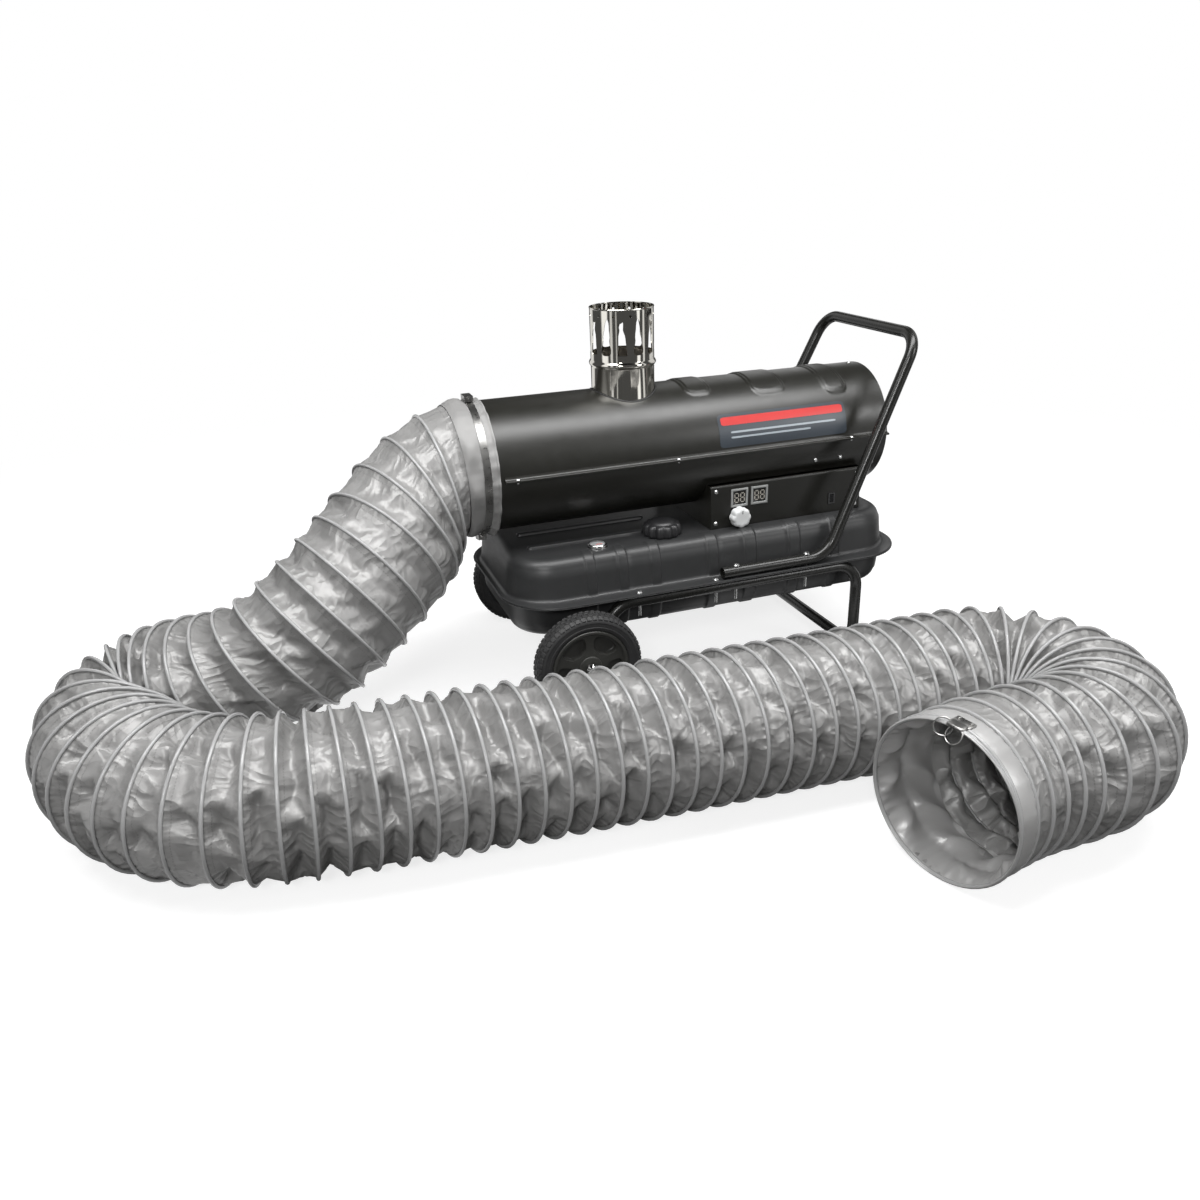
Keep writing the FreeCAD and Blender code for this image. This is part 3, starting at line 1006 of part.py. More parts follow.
# axle and wheels
node("axle", rod("axle", "axle_radius", "2 * wheel_face_y + axle_cap_length",
                 ("axle_x", "-(wheel_face_y + axle_cap_length / 2)", "axle_z"), "y"))
spacer_length = "wheel_face_y - wheel_width - rail_y - tube_radius - 2 * seat_clearance"
caps = []
spacers = []
for side, sign in sides.items():
    away = "y" if sign > 0 else "-y"
    wheel_start = "%d * (wheel_face_y - wheel_width)" % sign
    mid = "wheel_width / 2"
    rim_outline = [
        ("axle_radius + running_clearance", "0"), ("hub_radius", "0"),
        ("hub_radius", mid + " - disc_thick / 2"),
        ("rim_radius - rim_band", mid + " - disc_thick / 2"), ("rim_radius - rim_band", "tyre_round / 2"),
        ("rim_radius", "tyre_round / 2"), ("rim_radius", "wheel_width - tyre_round / 2"),
        ("rim_radius - rim_band", "wheel_width - tyre_round / 2"),
        ("rim_radius - rim_band", mid + " + disc_thick / 2"),
        ("hub_radius", mid + " + disc_thick / 2"), ("hub_radius", "wheel_width"),
        ("axle_radius + running_clearance", "wheel_width"),
    ]
    rim_whole = turned("rim_whole_" + side, rim_outline, ("axle_x", wheel_start, "axle_z"), away)
    pockets = []
    for number in range(count("rim_pockets")):
        spin = Rotation(Vector(0, sign, 0), 360.0 * number / count("rim_pockets"))
        at = Vector(size("axle_x"), sign * (size("wheel_face_y") - size("wheel_width") / 2 + size("disc_thick") / 2
                                            - size("pocket_depth")), size("axle_z"))
        wedges = []
        for layer, radius in (("out", "rim_radius - rim_band - 4"), ("in", "hub_radius + 7")):
            wedge = doc.addObject("Part::Cylinder", "pocket_%s_%d_%s" % (side, number, layer))
            bind(wedge, "Radius", radius)
            bind(wedge, "Height", "2 * pocket_depth")
            bind(wedge, "Angle", "pocket_angle")
            wedges.append(moved(wedge, Placement(at, spin.multiply(turn_to[away]))))
        pockets.append(cut("pocket_%s_%d" % (side, number), *wedges))
    node("rim_" + side, cut("rim_" + side, rim_whole, *pockets))
    tyre_outline = [
        ("rim_radius + running_clearance", "tyre_round / 2"), ("rim_radius + tyre_round", "0"),
        ("wheel_radius - tyre_round", "0"), ("wheel_radius - tyre_round * 0.3", "tyre_round * 0.3"),
        ("wheel_radius", "tyre_round"), ("wheel_radius", "wheel_width - tyre_round"),
        ("wheel_radius - tyre_round * 0.3", "wheel_width - tyre_round * 0.3"),
        ("wheel_radius - tyre_round", "wheel_width"),
        ("rim_radius + tyre_round", "wheel_width"),
        ("rim_radius + running_clearance", "wheel_width - tyre_round / 2"),
    ]
    node("tyre_" + side, turned("tyre_" + side, tyre_outline, ("axle_x", wheel_start, "axle_z"), away))
    spacer_start = "%d * (rail_y + tube_radius + seat_clearance)" % sign
    spacers.append(pipe("spacer_" + side, "spacer_radius", "axle_radius + running_clearance", spacer_length,
                        ("axle_x", spacer_start, "axle_z"), away))
    cap_outline = [
        ("axle_radius + running_clearance", "0"), ("axle_cap_radius", "0"),
        ("axle_cap_radius", "axle_cap_length * 0.5"),
        ("axle_cap_radius * 0.6", "axle_cap_length"), ("0", "axle_cap_length"),
        ("0", "axle_cap_length / 2 + running_clearance"),
        ("axle_radius + running_clearance", "axle_cap_length / 2 + running_clearance"),
    ]
    caps.append(turned("axle_cap_" + side, cap_outline,
                       ("axle_x", "%d * (wheel_face_y + seat_clearance)" % sign, "axle_z"), away))
node("wheel_spacers", group("wheel_spacers", spacers))
node("axle_caps", group("axle_caps", caps))

# flexible duct: a smooth line through the route, with one rib for each turn of its wire
route_curve = Part.BSplineCurve()
poles = [Vector(*point) for point in duct_route]
spans = len(poles) - 2
route_curve.buildFromPolesMultsKnots(poles, [3] + [1] * (spans - 1) + [3], list(range(spans + 1)), False, 2)
route_length = route_curve.length()


def route_point(along):
    inside = min(max(along, 0.0), route_length)
    here = route_curve.parameterAtDistance(inside, 0.0)
    overrun = along - inside
    if not overrun:
        return route_curve.value(here)
    return route_curve.value(here) + Vector(*route_curve.tangent(here)[0]) * overrun


def smooth_step(value):
    share = min(max(value, 0.0), 1.0)
    return share * share * (3 - 2 * share)


def duct_crest(along):
    """Radius over the wire: fuller where the duct hangs, flatter where it lies on the floor."""
    hang = smooth_step((0.24 - along / route_length) / 0.08) * smooth_step((along - size("cuff_length")) / 80)
    return size("duct_floor_radius") + (size("duct_hang_radius") - size("duct_floor_radius")) * hang


def duct_frame(along, window=60.0):
    """Frame of one ring: square to the line, but leaving the barrel straight and turning away by degrees."""
    heading = (route_point(along + window) - route_point(along - window)).normalize()
    first = (poles[1] - poles[0]).normalize()
    allowed = max(0.0, along - size("cuff_straight")) * size("cuff_turn")
    if math.degrees(first.getAngle(heading)) > allowed:
        heading = Rotation(first.cross(heading), allowed).multVec(first)
    side = Vector(0, 0, 1).cross(heading).normalize()
    return Placement(route_point(along), Rotation(side, heading.cross(side), heading, "ZXY"))


def duct_ring(along, radius):
    ring = Part.Wire([Part.makeCircle(radius)])
    ring.Placement = duct_frame(along)
    return ring


def skin(rings):
    """Ruled faces from each ring to the next."""
    return [face for pair in zip(rings, rings[1:]) for face in Part.makeLoft(list(pair), False, True).Faces]


cuff_inner = size("barrel_radius") + size("cuff_clearance")
outer_stations = [(0.0, cuff_inner + size("cuff_wall")),
                  (size("cuff_length"), cuff_inner + size("cuff_wall"))]
inner_stations = [(0.0, cuff_inner), (size("cuff_length"), cuff_inner)]
ribs_start = size("cuff_length") + 8
rib_pitch = (route_length - size("mouth_cuff") - ribs_start) / count("duct_ribs")
for rib in range(count("duct_ribs")):
    for share, climb in ((0.0, 0.0), (0.36, 0.3), (0.5, 1.0), (0.64, 0.3)):
        along = ribs_start + (rib + share) * rib_pitch
        valley = duct_crest(along) - size("duct_rib_height")
        outer_stations.append((along, valley + climb * size("duct_rib_height")))
        if climb in (0.0, 1.0):
            inner_stations.append((along, valley - size("duct_wall")))
outer_stations += [(route_length - size("mouth_cuff"), size("mouth_radius")),
                   (route_length, size("mouth_radius"))]
mouth_inner = size("mouth_radius") - size("duct_wall")
inner_stations += [(route_length - size("mouth_cuff"), mouth_inner), (route_length, mouth_inner)]
least_gap = 1e9
for (along, radius), (onward, onward_radius) in zip(outer_stations, outer_stations[1:]):
    frame = duct_frame(along)
    ahead = duct_frame(onward)
    heading = frame.Rotation.multVec(Vector(0, 0, 1))
    for step in range(36):
        spot = Vector(math.cos(step * math.pi / 18), math.sin(step * math.pi / 18), 0) * onward_radius
        least_gap = min(least_gap, (ahead.multVec(spot) - frame.Base).dot(heading))
print("duct length %.0f, rib pitch %.1f, least gap between rings %.2f" % (route_length, rib_pitch,
                                                                          least_gap))
outer_rings = [duct_ring(along, radius) for along, radius in outer_stations]
inner_rings = [duct_ring(along, radius) for along, radius in inner_stations]
ends = []
for index in (0, -1):
    ends.append(Part.Face([outer_rings[index], inner_rings[index]], "Part::FaceMakerBullseye"))
duct_skin = Part.Compound(skin(outer_rings) + skin(inner_rings) + ends)
duct_skin.sewShape(0.001)
duct_solid = Part.Solid(duct_skin.Shells[0])
if duct_solid.Volume < 0:
    duct_solid.reverse()


def stacked_volume(stations):
    """Volume of the cones between the rings, as if the line were straight."""
    return sum(math.pi * (far - near) * (r * r + r * q + q * q) / 3
               for (near, r), (far, q) in zip(stations, stations[1:]))


print("duct volume over its straight cones: %.3f"
      % (duct_solid.Volume / (stacked_volume(outer_stations) - stacked_volume(inner_stations))))
node("duct", solid_feature("duct", duct_solid))

# clamps: band and buckles round the cuff on the barrel, band at the mouth
band_radius = "barrel_radius + cuff_clearance + cuff_wall + band_clearance"
band_x = duct_route[0][0] - size("band_inset") - size("band_width")
node("outlet_clamp_band", pipe("outlet_clamp_band", band_radius + " + band_thick", band_radius,
                               "band_width",
                               (str(band_x), "0", "barrel_axis_z"), "x"))
buckles = []
for where, angle in (("top", 0), ("bottom", 192)):
    seat = size("barrel_radius") + size("cuff_clearance") + size("cuff_wall") + size("band_clearance") + size("band_thick")
    case = radial_block("buckle_case_" + where, "buckle_width", "buckle_length", "buckle_height",
                        band_x + size("band_width") / 2 - size("buckle_width") / 2, angle,
                        seat + size("seat_clearance"))
    frame = around_barrel(band_x + size("band_width") / 2, angle,
                          seat + size("seat_clearance") + size("buckle_height") / 2)
    worm = doc.addObject("Part::Cylinder", "buckle_worm_" + where)
    bind(worm, "Radius", "buckle_screw")
    bind(worm, "Height", "buckle_screw_length")
    back = frame.multiply(Placement(Vector(0, size("buckle_screw_length") / 2, 0), turn_to["-y"]))
    buckles.append(fuse("buckle_" + where, case, moved(worm, back)))
node("outlet_clamp_buckles", group("outlet_clamp_buckles", buckles))
mouth_frame = duct_frame(route_length - size("mouth_band_inset") - size("band_width"))
band_in = size("mouth_radius") + size("band_clearance")
band_shape = Part.makeCylinder(band_in + size("band_thick"), size("band_width")).cut(
    Part.makeCylinder(band_in, size("band_width")))
buckle_shape = Part.makeBox(size("buckle_length"), size("buckle_height"), size("buckle_width"),
                            Vector(-size("buckle_length") / 2, band_in + size("band_thick") / 2,
                                   size("band_width") / 2 - size("buckle_width") / 2))
band_whole = band_shape.fuse(buckle_shape)
node("end_clamp_band", solid_feature("end_clamp_band", band_whole, mouth_frame))

doc.recompute()
for obj in doc.Objects:
    if "Invalid" in obj.State or "Error" in obj.State:
        raise RuntimeError("%s is not made: %s" % (obj.Label, obj.State))
for obj in nodes:
    if obj.Shape.isNull() or not obj.Shape.isValid() or not obj.Shape.Solids:
        raise RuntimeError("%s has no sound shape" % obj.Label)

os.makedirs("parts", exist_ok=True)
for obj in nodes:
    obj.Shape.exportStep("parts/%s.step" % obj.Label)
print(len(nodes), "sub-parts written")
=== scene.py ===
import json
import math

import bmesh
import bpy
import numpy as np
from mathutils import Matrix, Vector


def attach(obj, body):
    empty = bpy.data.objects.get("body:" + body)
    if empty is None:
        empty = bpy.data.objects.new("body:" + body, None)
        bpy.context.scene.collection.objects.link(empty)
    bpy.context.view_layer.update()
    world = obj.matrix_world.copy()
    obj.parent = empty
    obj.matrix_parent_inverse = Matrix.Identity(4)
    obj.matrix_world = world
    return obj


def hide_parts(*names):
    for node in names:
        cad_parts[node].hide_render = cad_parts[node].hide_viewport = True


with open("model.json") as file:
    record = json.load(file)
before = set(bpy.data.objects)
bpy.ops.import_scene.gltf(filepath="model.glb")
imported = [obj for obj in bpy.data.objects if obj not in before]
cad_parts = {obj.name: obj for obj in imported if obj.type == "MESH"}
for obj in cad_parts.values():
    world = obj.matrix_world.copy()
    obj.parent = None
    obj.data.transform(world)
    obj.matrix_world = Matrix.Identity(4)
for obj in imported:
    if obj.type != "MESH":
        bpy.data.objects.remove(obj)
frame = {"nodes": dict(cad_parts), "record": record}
bpy.ops.object.select_all(action="DESELECT")
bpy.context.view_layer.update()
scene = bpy.context.scene
scene.view_settings.view_transform = "Standard"
print("frame loaded:", len(frame["nodes"]), "nodes")


# shader maths: a socket that adds its own nodes
class Sock:
    def __init__(self, tree, socket=None):
        self.tree = tree
        self.socket = socket

    def node(self, kind, settings=None, inputs=None, out=0):
        made = self.tree.nodes.new("ShaderNode" + kind)
        for name, value in (settings or {}).items():
            setattr(made, name, value)
        for name, value in (inputs or {}).items():
            if isinstance(value, Sock):
                self.tree.links.new(value.socket, made.inputs[name])
            else:
                made.inputs[name].default_value = value
        return Sock(self.tree, made.outputs[out])

    def maths(self, operation, *values):
        return self.node("Math", {"operation": operation}, dict(enumerate(values)))

    def __add__(self, other):
        return self.maths("ADD", self, other)

    def __radd__(self, other):
        return self.maths("ADD", other, self)

    def __sub__(self, other):
        return self.maths("SUBTRACT", self, other)

    def __rsub__(self, other):
        return self.maths("SUBTRACT", other, self)

    def __mul__(self, other):
        return self.maths("MULTIPLY", self, other)

    def __rmul__(self, other):
        return self.maths("MULTIPLY", other, self)

    def __abs__(self):
        return self.maths("ABSOLUTE", self)

    def __mod__(self, other):
        return self.maths("FLOORED_MODULO", self, other)

    def __lt__(self, other):
        return self.maths("LESS_THAN", self, other)

    def __gt__(self, other):
        return self.maths("GREATER_THAN", self, other)


def newFinish(name, metal=0.0, specular=0.5):
    mat = bpy.data.materials.new(name)
    mat.use_nodes = True
    shader = mat.node_tree.nodes["Principled BSDF"]
    shader.inputs["Metallic"].default_value = metal
    shader.inputs["Specular IOR Level"].default_value = specular
    at = Sock(mat.node_tree)
    return mat, at, shader, at.node("TexCoord", out="Object")


def feed(mat, shader, **sockets):
    names = {"colour": "Base Color", "rough": "Roughness", "normal": "Normal"}
    for key, value in sockets.items():
        mat.node_tree.links.new(value.socket, shader.inputs[names[key]])
    return mat


def tone(colour, share):
    return (colour[0] * share, colour[1] * share, colour[2] * share, 1.0)


def noiseAt(at, place, scale, detail=3.0, rough=0.55):
    inputs = {"Vector": place, "Scale": scale, "Detail": detail, "Roughness": rough}
    return at.node("TexNoise", None, inputs)


def tint(at, amount, first, second):
    return at.node("Mix", {"data_type": "RGBA"}, {0: amount, 6: first, 7: second}, out=2)


def mottled(at, amount, colour, low, high):
    return tint(at, amount, tone(colour, low), tone(colour, high))


def stretched(at, place, x, y, z):
    return at.node("Mapping", None, {"Vector": place, "Scale": (x, y, z)})


def bumpOf(at, height, strength, distance):
    return at.node("Bump", None, {"Strength": strength, "Distance": distance, "Height": height})


def axesOf(at, place):
    split = at.node("SeparateXYZ", None, {"Vector": place})
    return [Sock(at.tree, axis) for axis in split.socket.node.outputs]


def grey(at, level):
    return at.node("CombineXYZ", None, {axis: level for axis in range(3)})


# falls from a level to nothing between two values
def fadeOut(at, value, start, stop, level):
    inputs = {0: value, 1: start, 2: stop, 3: level, 4: 0.0}
    return at.node("MapRange", {"interpolation_type": "SMOOTHSTEP"}, inputs)


# painted sheet metal: cloudy tone, scuffed gloss, orange peel
def powderCoat(name, colour, rough, peel=0.12, scuff=0.14, specular=0.5):
    mat, at, shader, place = newFinish(name, specular=specular)
    cloud = noiseAt(at, place, 6.0, 4.0, 0.6)
    rubbed = noiseAt(at, place, 48.0, 6.0, 0.7)
    grain = noiseAt(at, place, 950.0, 2.0)
    return feed(mat, shader, colour=mottled(at, cloud, colour, 0.86, 1.14),
                rough=rough + (rubbed - 0.5) * scuff + (cloud - 0.5) * 0.08,
                normal=bumpOf(at, grain, peel, 0.0004))


# bare metal: streaks along one axis in gloss and tone
def bareMetal(name, colour, rough, along=(300.0, 300.0, 8.0), streak=0.10, blotch=0.06):
    mat, at, shader, place = newFinish(name, metal=1.0)
    lines = noiseAt(at, stretched(at, place, *along), 1.0, 4.0, 0.6)
    cloud = noiseAt(at, place, 22.0, 4.0, 0.6)
    return feed(mat, shader, colour=mottled(at, lines, colour, 0.90, 1.06),
                rough=rough + (lines - 0.5) * streak + (cloud - 0.5) * blotch,
                normal=bumpOf(at, lines, 0.05, 0.0003))


# moulded plastic or rubber: fine grain, slight tone change
def moulded(name, colour, rough, grainScale=900.0, grain=0.15, dust=0.0):
    mat, at, shader, place = newFinish(name)
    fine = noiseAt(at, place, grainScale, 3.0)
    cloud = noiseAt(at, place, 26.0, 5.0, 0.65)
    paint = mottled(at, cloud, colour, 0.88, 1.12)
    if dust:
        paint = tint(at, (cloud - 0.45) * dust, paint, (0.30, 0.29, 0.27, 1.0))
    return feed(mat, shader, colour=paint, rough=rough + (cloud - 0.5) * 0.16,
                normal=bumpOf(at, fine, grain, 0.0004))


def clearPlastic(name, colour, rough, alpha):
    mat, at, shader, place = newFinish(name)
    cloud = noiseAt(at, place, 60.0, 3.0)
    shader.inputs["Alpha"].default_value = alpha
    return feed(mat, shader, colour=mottled(at, cloud, colour, 0.94, 1.06), rough=rough + cloud * 0.06)


# chart of the duct's cloth in metres: along the wire, and across a strip from wire to wire
clothChart = {"width": 0.047, "stitchAt": 0.0088, "stitchHalf": 0.0006, "stitchStep": 0.0048,
              "stitchLong": 0.0030}


# coated duct cloth: folds, creases, puckers at the wires and a line of stitches
def coatedCloth(name, colour, rough, folded=1.0):
    mat, at, shader, place = newFinish(name, metal=0.22, specular=0.55)
    chart = at.node("TexCoord", out="UV")
    along, across, _ = axesOf(at, chart)
    edge = across.maths("MINIMUM", across, clothChart["width"] - across)  # distance to the nearest wire
    near = edge.maths("MAXIMUM", 1.0 - edge * 90.0, 0.0)  # fades 11 mm off the wire
    cloud = noiseAt(at, place, 9.0, 4.0, 0.6)
    fine = noiseAt(at, place, 300.0, 3.0)
    drift = at.node("TexNoise", None, {"Vector": place, "Scale": 16.0, "Detail": 1.0}, out="Color")
    wander = at.node("VectorMath", {"operation": "SCALE"}, {0: drift, "Scale": 0.045})
    bent = at.node("VectorMath", {"operation": "ADD"}, {0: chart, 1: wander})
    broad = noiseAt(at, stretched(at, bent, 23.0, 17.0, 1.0), 1.0, 0.5, 0.4)
    narrow = noiseAt(at, stretched(at, bent, 50.0, 31.0, 1.0), 1.0, 0.3, 0.4)
    ridge, crease = (1.0 - abs(wave * 2.0 - 1.0) for wave in (broad, narrow))
    pucker = noiseAt(at, stretched(at, chart, 115.0, 20.0, 1.0), 1.0, 0.6)
    line = abs(across - clothChart["stitchAt"]) < clothChart["stitchHalf"]
    stitch = line * ((along % clothChart["stitchStep"]) < clothChart["stitchLong"])
    height = (ridge * 0.20 + crease * 0.16 + pucker * near * near * 0.30 + fine * 0.012) * folded
    height = height + stitch * 0.03
    paint = tint(at, stitch * 0.35, mottled(at, cloud, colour, 0.92, 1.06), tone(colour, 0.55))
    return feed(mat, shader, colour=paint, rough=rough + (fine - 0.5) * 0.10 + (cloud - 0.5) * 0.10,
                normal=bumpOf(at, height, 0.85, 0.021))


evenGrain = (120.0, 120.0, 120.0)
finishes = {
    "black_coat": powderCoat("barrelBlack", (0.0100, 0.0098, 0.0075), 0.36, peel=0.10, specular=0.64),
    "tank_coat": powderCoat("tankCharcoal", (0.024, 0.0245, 0.025), 0.42, peel=0.16),
    "tube_black": powderCoat("tubeEnamel", (0.010, 0.010, 0.009), 0.27, peel=0.05, scuff=0.10),
    "stainless": bareMetal("flueSteel", (0.72, 0.70, 0.645), 0.07, streak=0.06, blotch=0.05),
    "exchanger_steel": bareMetal("millSteel", (0.42, 0.40, 0.38), 0.42, along=(60.0, 60.0, 60.0)),
    "zinc": bareMetal("brightZinc", (0.66, 0.665, 0.66), 0.26, along=evenGrain, streak=0.16),
    "motor_paint": powderCoat("motorEnamel", (0.05, 0.055, 0.06), 0.5),
    "fan_metal": bareMetal("fanAluminium", (0.6, 0.6, 0.6), 0.36, along=(40.0, 300.0, 300.0)),
    "brass_fitting": bareMetal("brassFitting", (0.66, 0.48, 0.22), 0.28, along=evenGrain),
    "black_plastic": moulded("capPlastic", (0.016, 0.016, 0.017), 0.38, 700.0, 0.18),
    "switch_black": moulded("switchPlastic", (0.010, 0.010, 0.011), 0.22, 900.0, 0.06),
    "knob_grey": moulded("knobPlastic", (0.62, 0.63, 0.63), 0.40, 900.0, 0.06),
    "display_clear": moulded("bezelPlastic", (0.26, 0.265, 0.26), 0.18, 900.0, 0.05),
    "board_green": moulded("boardLacquer", (0.03, 0.16, 0.07), 0.35, 400.0, 0.10),
    "liner_rubber": moulded("linerRubber", (0.012, 0.012, 0.012), 0.6, 500.0, 0.2),
    "gauge_glass": clearPlastic("gaugeClear", (0.9, 0.92, 0.92), 0.04, 0.16),
    "pointer_red": moulded("pointerRed", (0.50, 0.03, 0.02), 0.5, 900.0, 0.08),
    "wheel_plastic": moulded("hubPlastic", (0.034, 0.034, 0.031), 0.36, 600.0, 0.16),
    "tyre_black": moulded("tyreRubber", (0.020, 0.020, 0.0205), 0.58, 420.0, 0.30, dust=0.08),
    "cap_chrome": bareMetal("hubChrome", (0.78, 0.78, 0.77), 0.08, along=(60.0, 60.0, 60.0), streak=0.06),
    "duct_cloth": coatedCloth("ductCloth", (0.275, 0.272, 0.268), 0.42),
}
strapSteel = bareMetal("strapSteel", (0.36, 0.355, 0.345), 0.30, along=evenGrain, streak=0.2)
slotOf = {part["node"]: part["material_slot"] for part in frame["record"]["subparts"]}
for name, node in frame["nodes"].items():
    node.data.materials.clear()
    node.data.materials.append(strapSteel if name.startswith("outlet_clamp") else finishes[slotOf[name]])
print("finishes made:", len(finishes))


# hand tools
def deselect():
    if bpy.context.object and bpy.context.object.mode != "OBJECT":
        bpy.ops.object.mode_set(mode="OBJECT")
    bpy.ops.object.select_all(action="DESELECT")


def only(piece):
    deselect()
    piece.select_set(True)
    bpy.context.view_layer.objects.active = piece


def named(piece, name):
    piece.name = name
    piece.data.name = name
    return piece


def settle(piece, name):
    only(piece)
    bpy.ops.object.transform_apply(location=True, rotation=True, scale=True)
    return named(piece, name)


# a mesh circle extruded from ring to ring, every ring with the same count
def skinRings(name, rings, startCap=False, endCap=False, outward=True):
    deselect()
    bpy.ops.mesh.primitive_circle_add(vertices=len(rings[0]), radius=0.05)
    piece = named(bpy.context.object, name)
    piece.data.vertices.foreach_set("co", np.ravel(rings[0]))
    bpy.ops.object.mode_set(mode="EDIT")
    bpy.ops.mesh.select_all(action="SELECT")
    if startCap:
        bpy.ops.mesh.edge_face_add()
    for ring in rings[1:]:
        bpy.ops.mesh.extrude_edges_move()
        shell = bmesh.from_edit_mesh(piece.data)
        shell.verts.ensure_lookup_table()
        for spot, place in zip(shell.verts[-len(ring):], ring):
            spot.co = place
    if endCap:
        bpy.ops.mesh.edge_face_add()
    bpy.ops.mesh.select_all(action="SELECT")
    bpy.ops.mesh.remove_doubles(threshold=0.000005)
    if outward:
        bpy.ops.mesh.normals_make_consistent(inside=False)
    bpy.ops.object.mode_set(mode="OBJECT")
    return piece


def faceOut(piece):
    only(piece)
    bpy.ops.object.mode_set(mode="EDIT")
    bpy.ops.mesh.select_all(action="SELECT")
    bpy.ops.mesh.normals_make_consistent(inside=False)
    bpy.ops.object.mode_set(mode="OBJECT")


# goes into edit mode with the edges or faces that pass a test selected
def pickIn(piece, kind, test):
    only(piece)
    bpy.ops.object.mode_set(mode="EDIT")
    bpy.ops.mesh.select_mode(type=kind)
    bpy.ops.mesh.select_all(action="DESELECT")
    shell = bmesh.from_edit_mesh(piece.data)
    for item in shell.edges if kind == "EDGE" else shell.faces:
        item.select_set(test(item))
    bmesh.update_edit_mesh(piece.data)


def turnsOf(count):
    return np.arange(count) * 2 * math.pi / count


# two directions across each axis, and the axis
axisFrames = {"x": ((0, 1, 0), (0, 0, 1), (1, 0, 0)), "y": ((0, 0, 1), (1, 0, 0), (0, 1, 0)),
              "z": ((1, 0, 0), (0, 1, 0), (0, 0, 1)), "-y": ((1, 0, 0), (0, 0, 1), (0, -1, 0))}


# rings of a turned profile: radius, height along the axis and, on a lobed piece, share of the dip
def turnedRings(profile, centre, axis="z", count=64, lobes=0, dip=0.0):
    one, two, along = (np.array(v, float) for v in axisFrames[axis])
    turn = turnsOf(count)
    hollow = 1 - ((1 + np.cos(lobes * turn)) / 2) ** 0.6
    rings = []
    for radius, height, *share in profile:
        reach = max(radius, 0.00002) - dip * sum(share) * hollow
        ring = (np.cos(turn) * reach)[:, None] * one + (np.sin(turn) * reach)[:, None] * two
        rings.append(np.array(centre) + ring + along * height)
    return rings


def turned(name, profile, centre, axis="z", count=64, loop=False):
    profile = list(profile) + ([profile[0]] if loop else [])
    return skinRings(name, turnedRings(profile, centre, axis, count))


def applied(piece, kind, **settings):
    only(piece)
    mod = piece.modifiers.new(kind.lower(), kind)
    for key, value in settings.items():
        setattr(mod, key, value)
    bpy.ops.object.modifier_apply(modifier=mod.name)
    return piece


def carve(piece, cutter):
    applied(piece, "BOOLEAN", operation="DIFFERENCE", solver="EXACT", object=cutter)
    bpy.data.objects.remove(cutter)


def eased(piece, width, segments=2, angle=35.0):
    return applied(piece, "BEVEL", width=width, segments=segments, limit_method="ANGLE",
                   angle_limit=math.radians(angle), harden_normals=False)


def smooth(piece, angle=35.0):
    only(piece)
    bpy.ops.object.shade_smooth_by_angle(angle=math.radians(angle))
    return piece


def copied(piece, matrix):
    twin = piece.copy()
    twin.data = piece.data.copy()
    twin.data.transform(matrix)
    scene.collection.objects.link(twin)
    return twin


def joined(name, pieces):
    deselect()
    for piece in pieces:
        piece.select_set(True)
    bpy.context.view_layer.objects.active = pieces[0]
    bpy.ops.object.join()
    return named(pieces[0], name)


def fitted(piece, material, slot, *nodes, body="heater"):
    piece.data.materials.clear()
    piece.data.materials.append(material)
    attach(piece, body)
    if nodes:
        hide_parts(*nodes)
    return piece


def ease(share):
    share = np.clip(share, 0.0, 1.0)
    return share * share * (3 - 2 * share)


# block between two corners, its edges eased
def blockAt(name, low, high, edge=0.0, segments=2):
    deselect()
    middle = [(a + b) / 2 for a, b in zip(low, high)]
    bpy.ops.mesh.primitive_cube_add(size=1, location=middle)
    piece = bpy.context.object
    piece.scale = [b - a for a, b in zip(low, high)]
    settle(piece, name)
    if edge:
        eased(piece, edge, segments)
    return piece


# camera
viewPoint = {"place": (-0.8016, -1.816, 0.944), "yaw": 19.11, "pitch": -23.31, "roll": -1.87, "lens": 30.6}


def makeCamera():
    yaw, pitch, roll = (math.radians(viewPoint[key]) for key in ("yaw", "pitch", "roll"))
    ahead = Vector((math.sin(yaw) * math.cos(pitch), math.cos(yaw) * math.cos(pitch), math.sin(pitch)))
    right = Vector((math.cos(yaw), -math.sin(yaw), 0))
    up = right.cross(ahead)
    side = right * math.cos(roll) + up * math.sin(roll)
    top = up * math.cos(roll) - right * math.sin(roll)
    data = bpy.data.cameras.new("camera")
    data.sensor_width = 36
    data.lens = viewPoint["lens"]
    eye = bpy.data.objects.new("camera", data)
    scene.collection.objects.link(eye)
    turn = Matrix((side, top, -ahead)).transposed().to_4x4()
    eye.matrix_world = Matrix.Translation(viewPoint["place"]) @ turn
    scene.camera = eye


# floor, world and soft boxes; panels are bright strips that only polished metal mirrors,
# each with its azimuth, half width and level
studio = {
    "floor": 40.0, "floorTone": 0.16, "floorSeen": 0.80, "shade": 0.45, "glow": 0.44, "near": (1.2, 3.0),
    "middle": (-0.30, -0.40), "ambient": 0.13, "mirrored": 0.08, "mirrorAt": -0.112, "mirrorTop": 0.72,
    "panels": [(-175.0, 12.0, 1.1), (-149.0, 4.0, 0.7), (-131.0, 2.0, 0.5), (-50.0, 6.0, 1.2),
               (-28.0, 4.0, 0.8), (18.0, 16.0, 0.7), (60.0, 5.0, 1.0), (110.0, 14.0, 0.8)],
    "lamps": {"overhead": ((-0.20, -0.66, 2.35), (-0.20, -0.34, 0.2), (3.4, 0.9), 92.0),
              "frontLeft": ((-1.6, -2.8, 1.9), (-0.3, -0.3, 0.2), (0.6, 0.6), 36.0),
              "frontRight": ((2.0, -2.5, 1.7), (0.1, -0.2, 0.3), (0.8, 0.8), 20.0)},
}


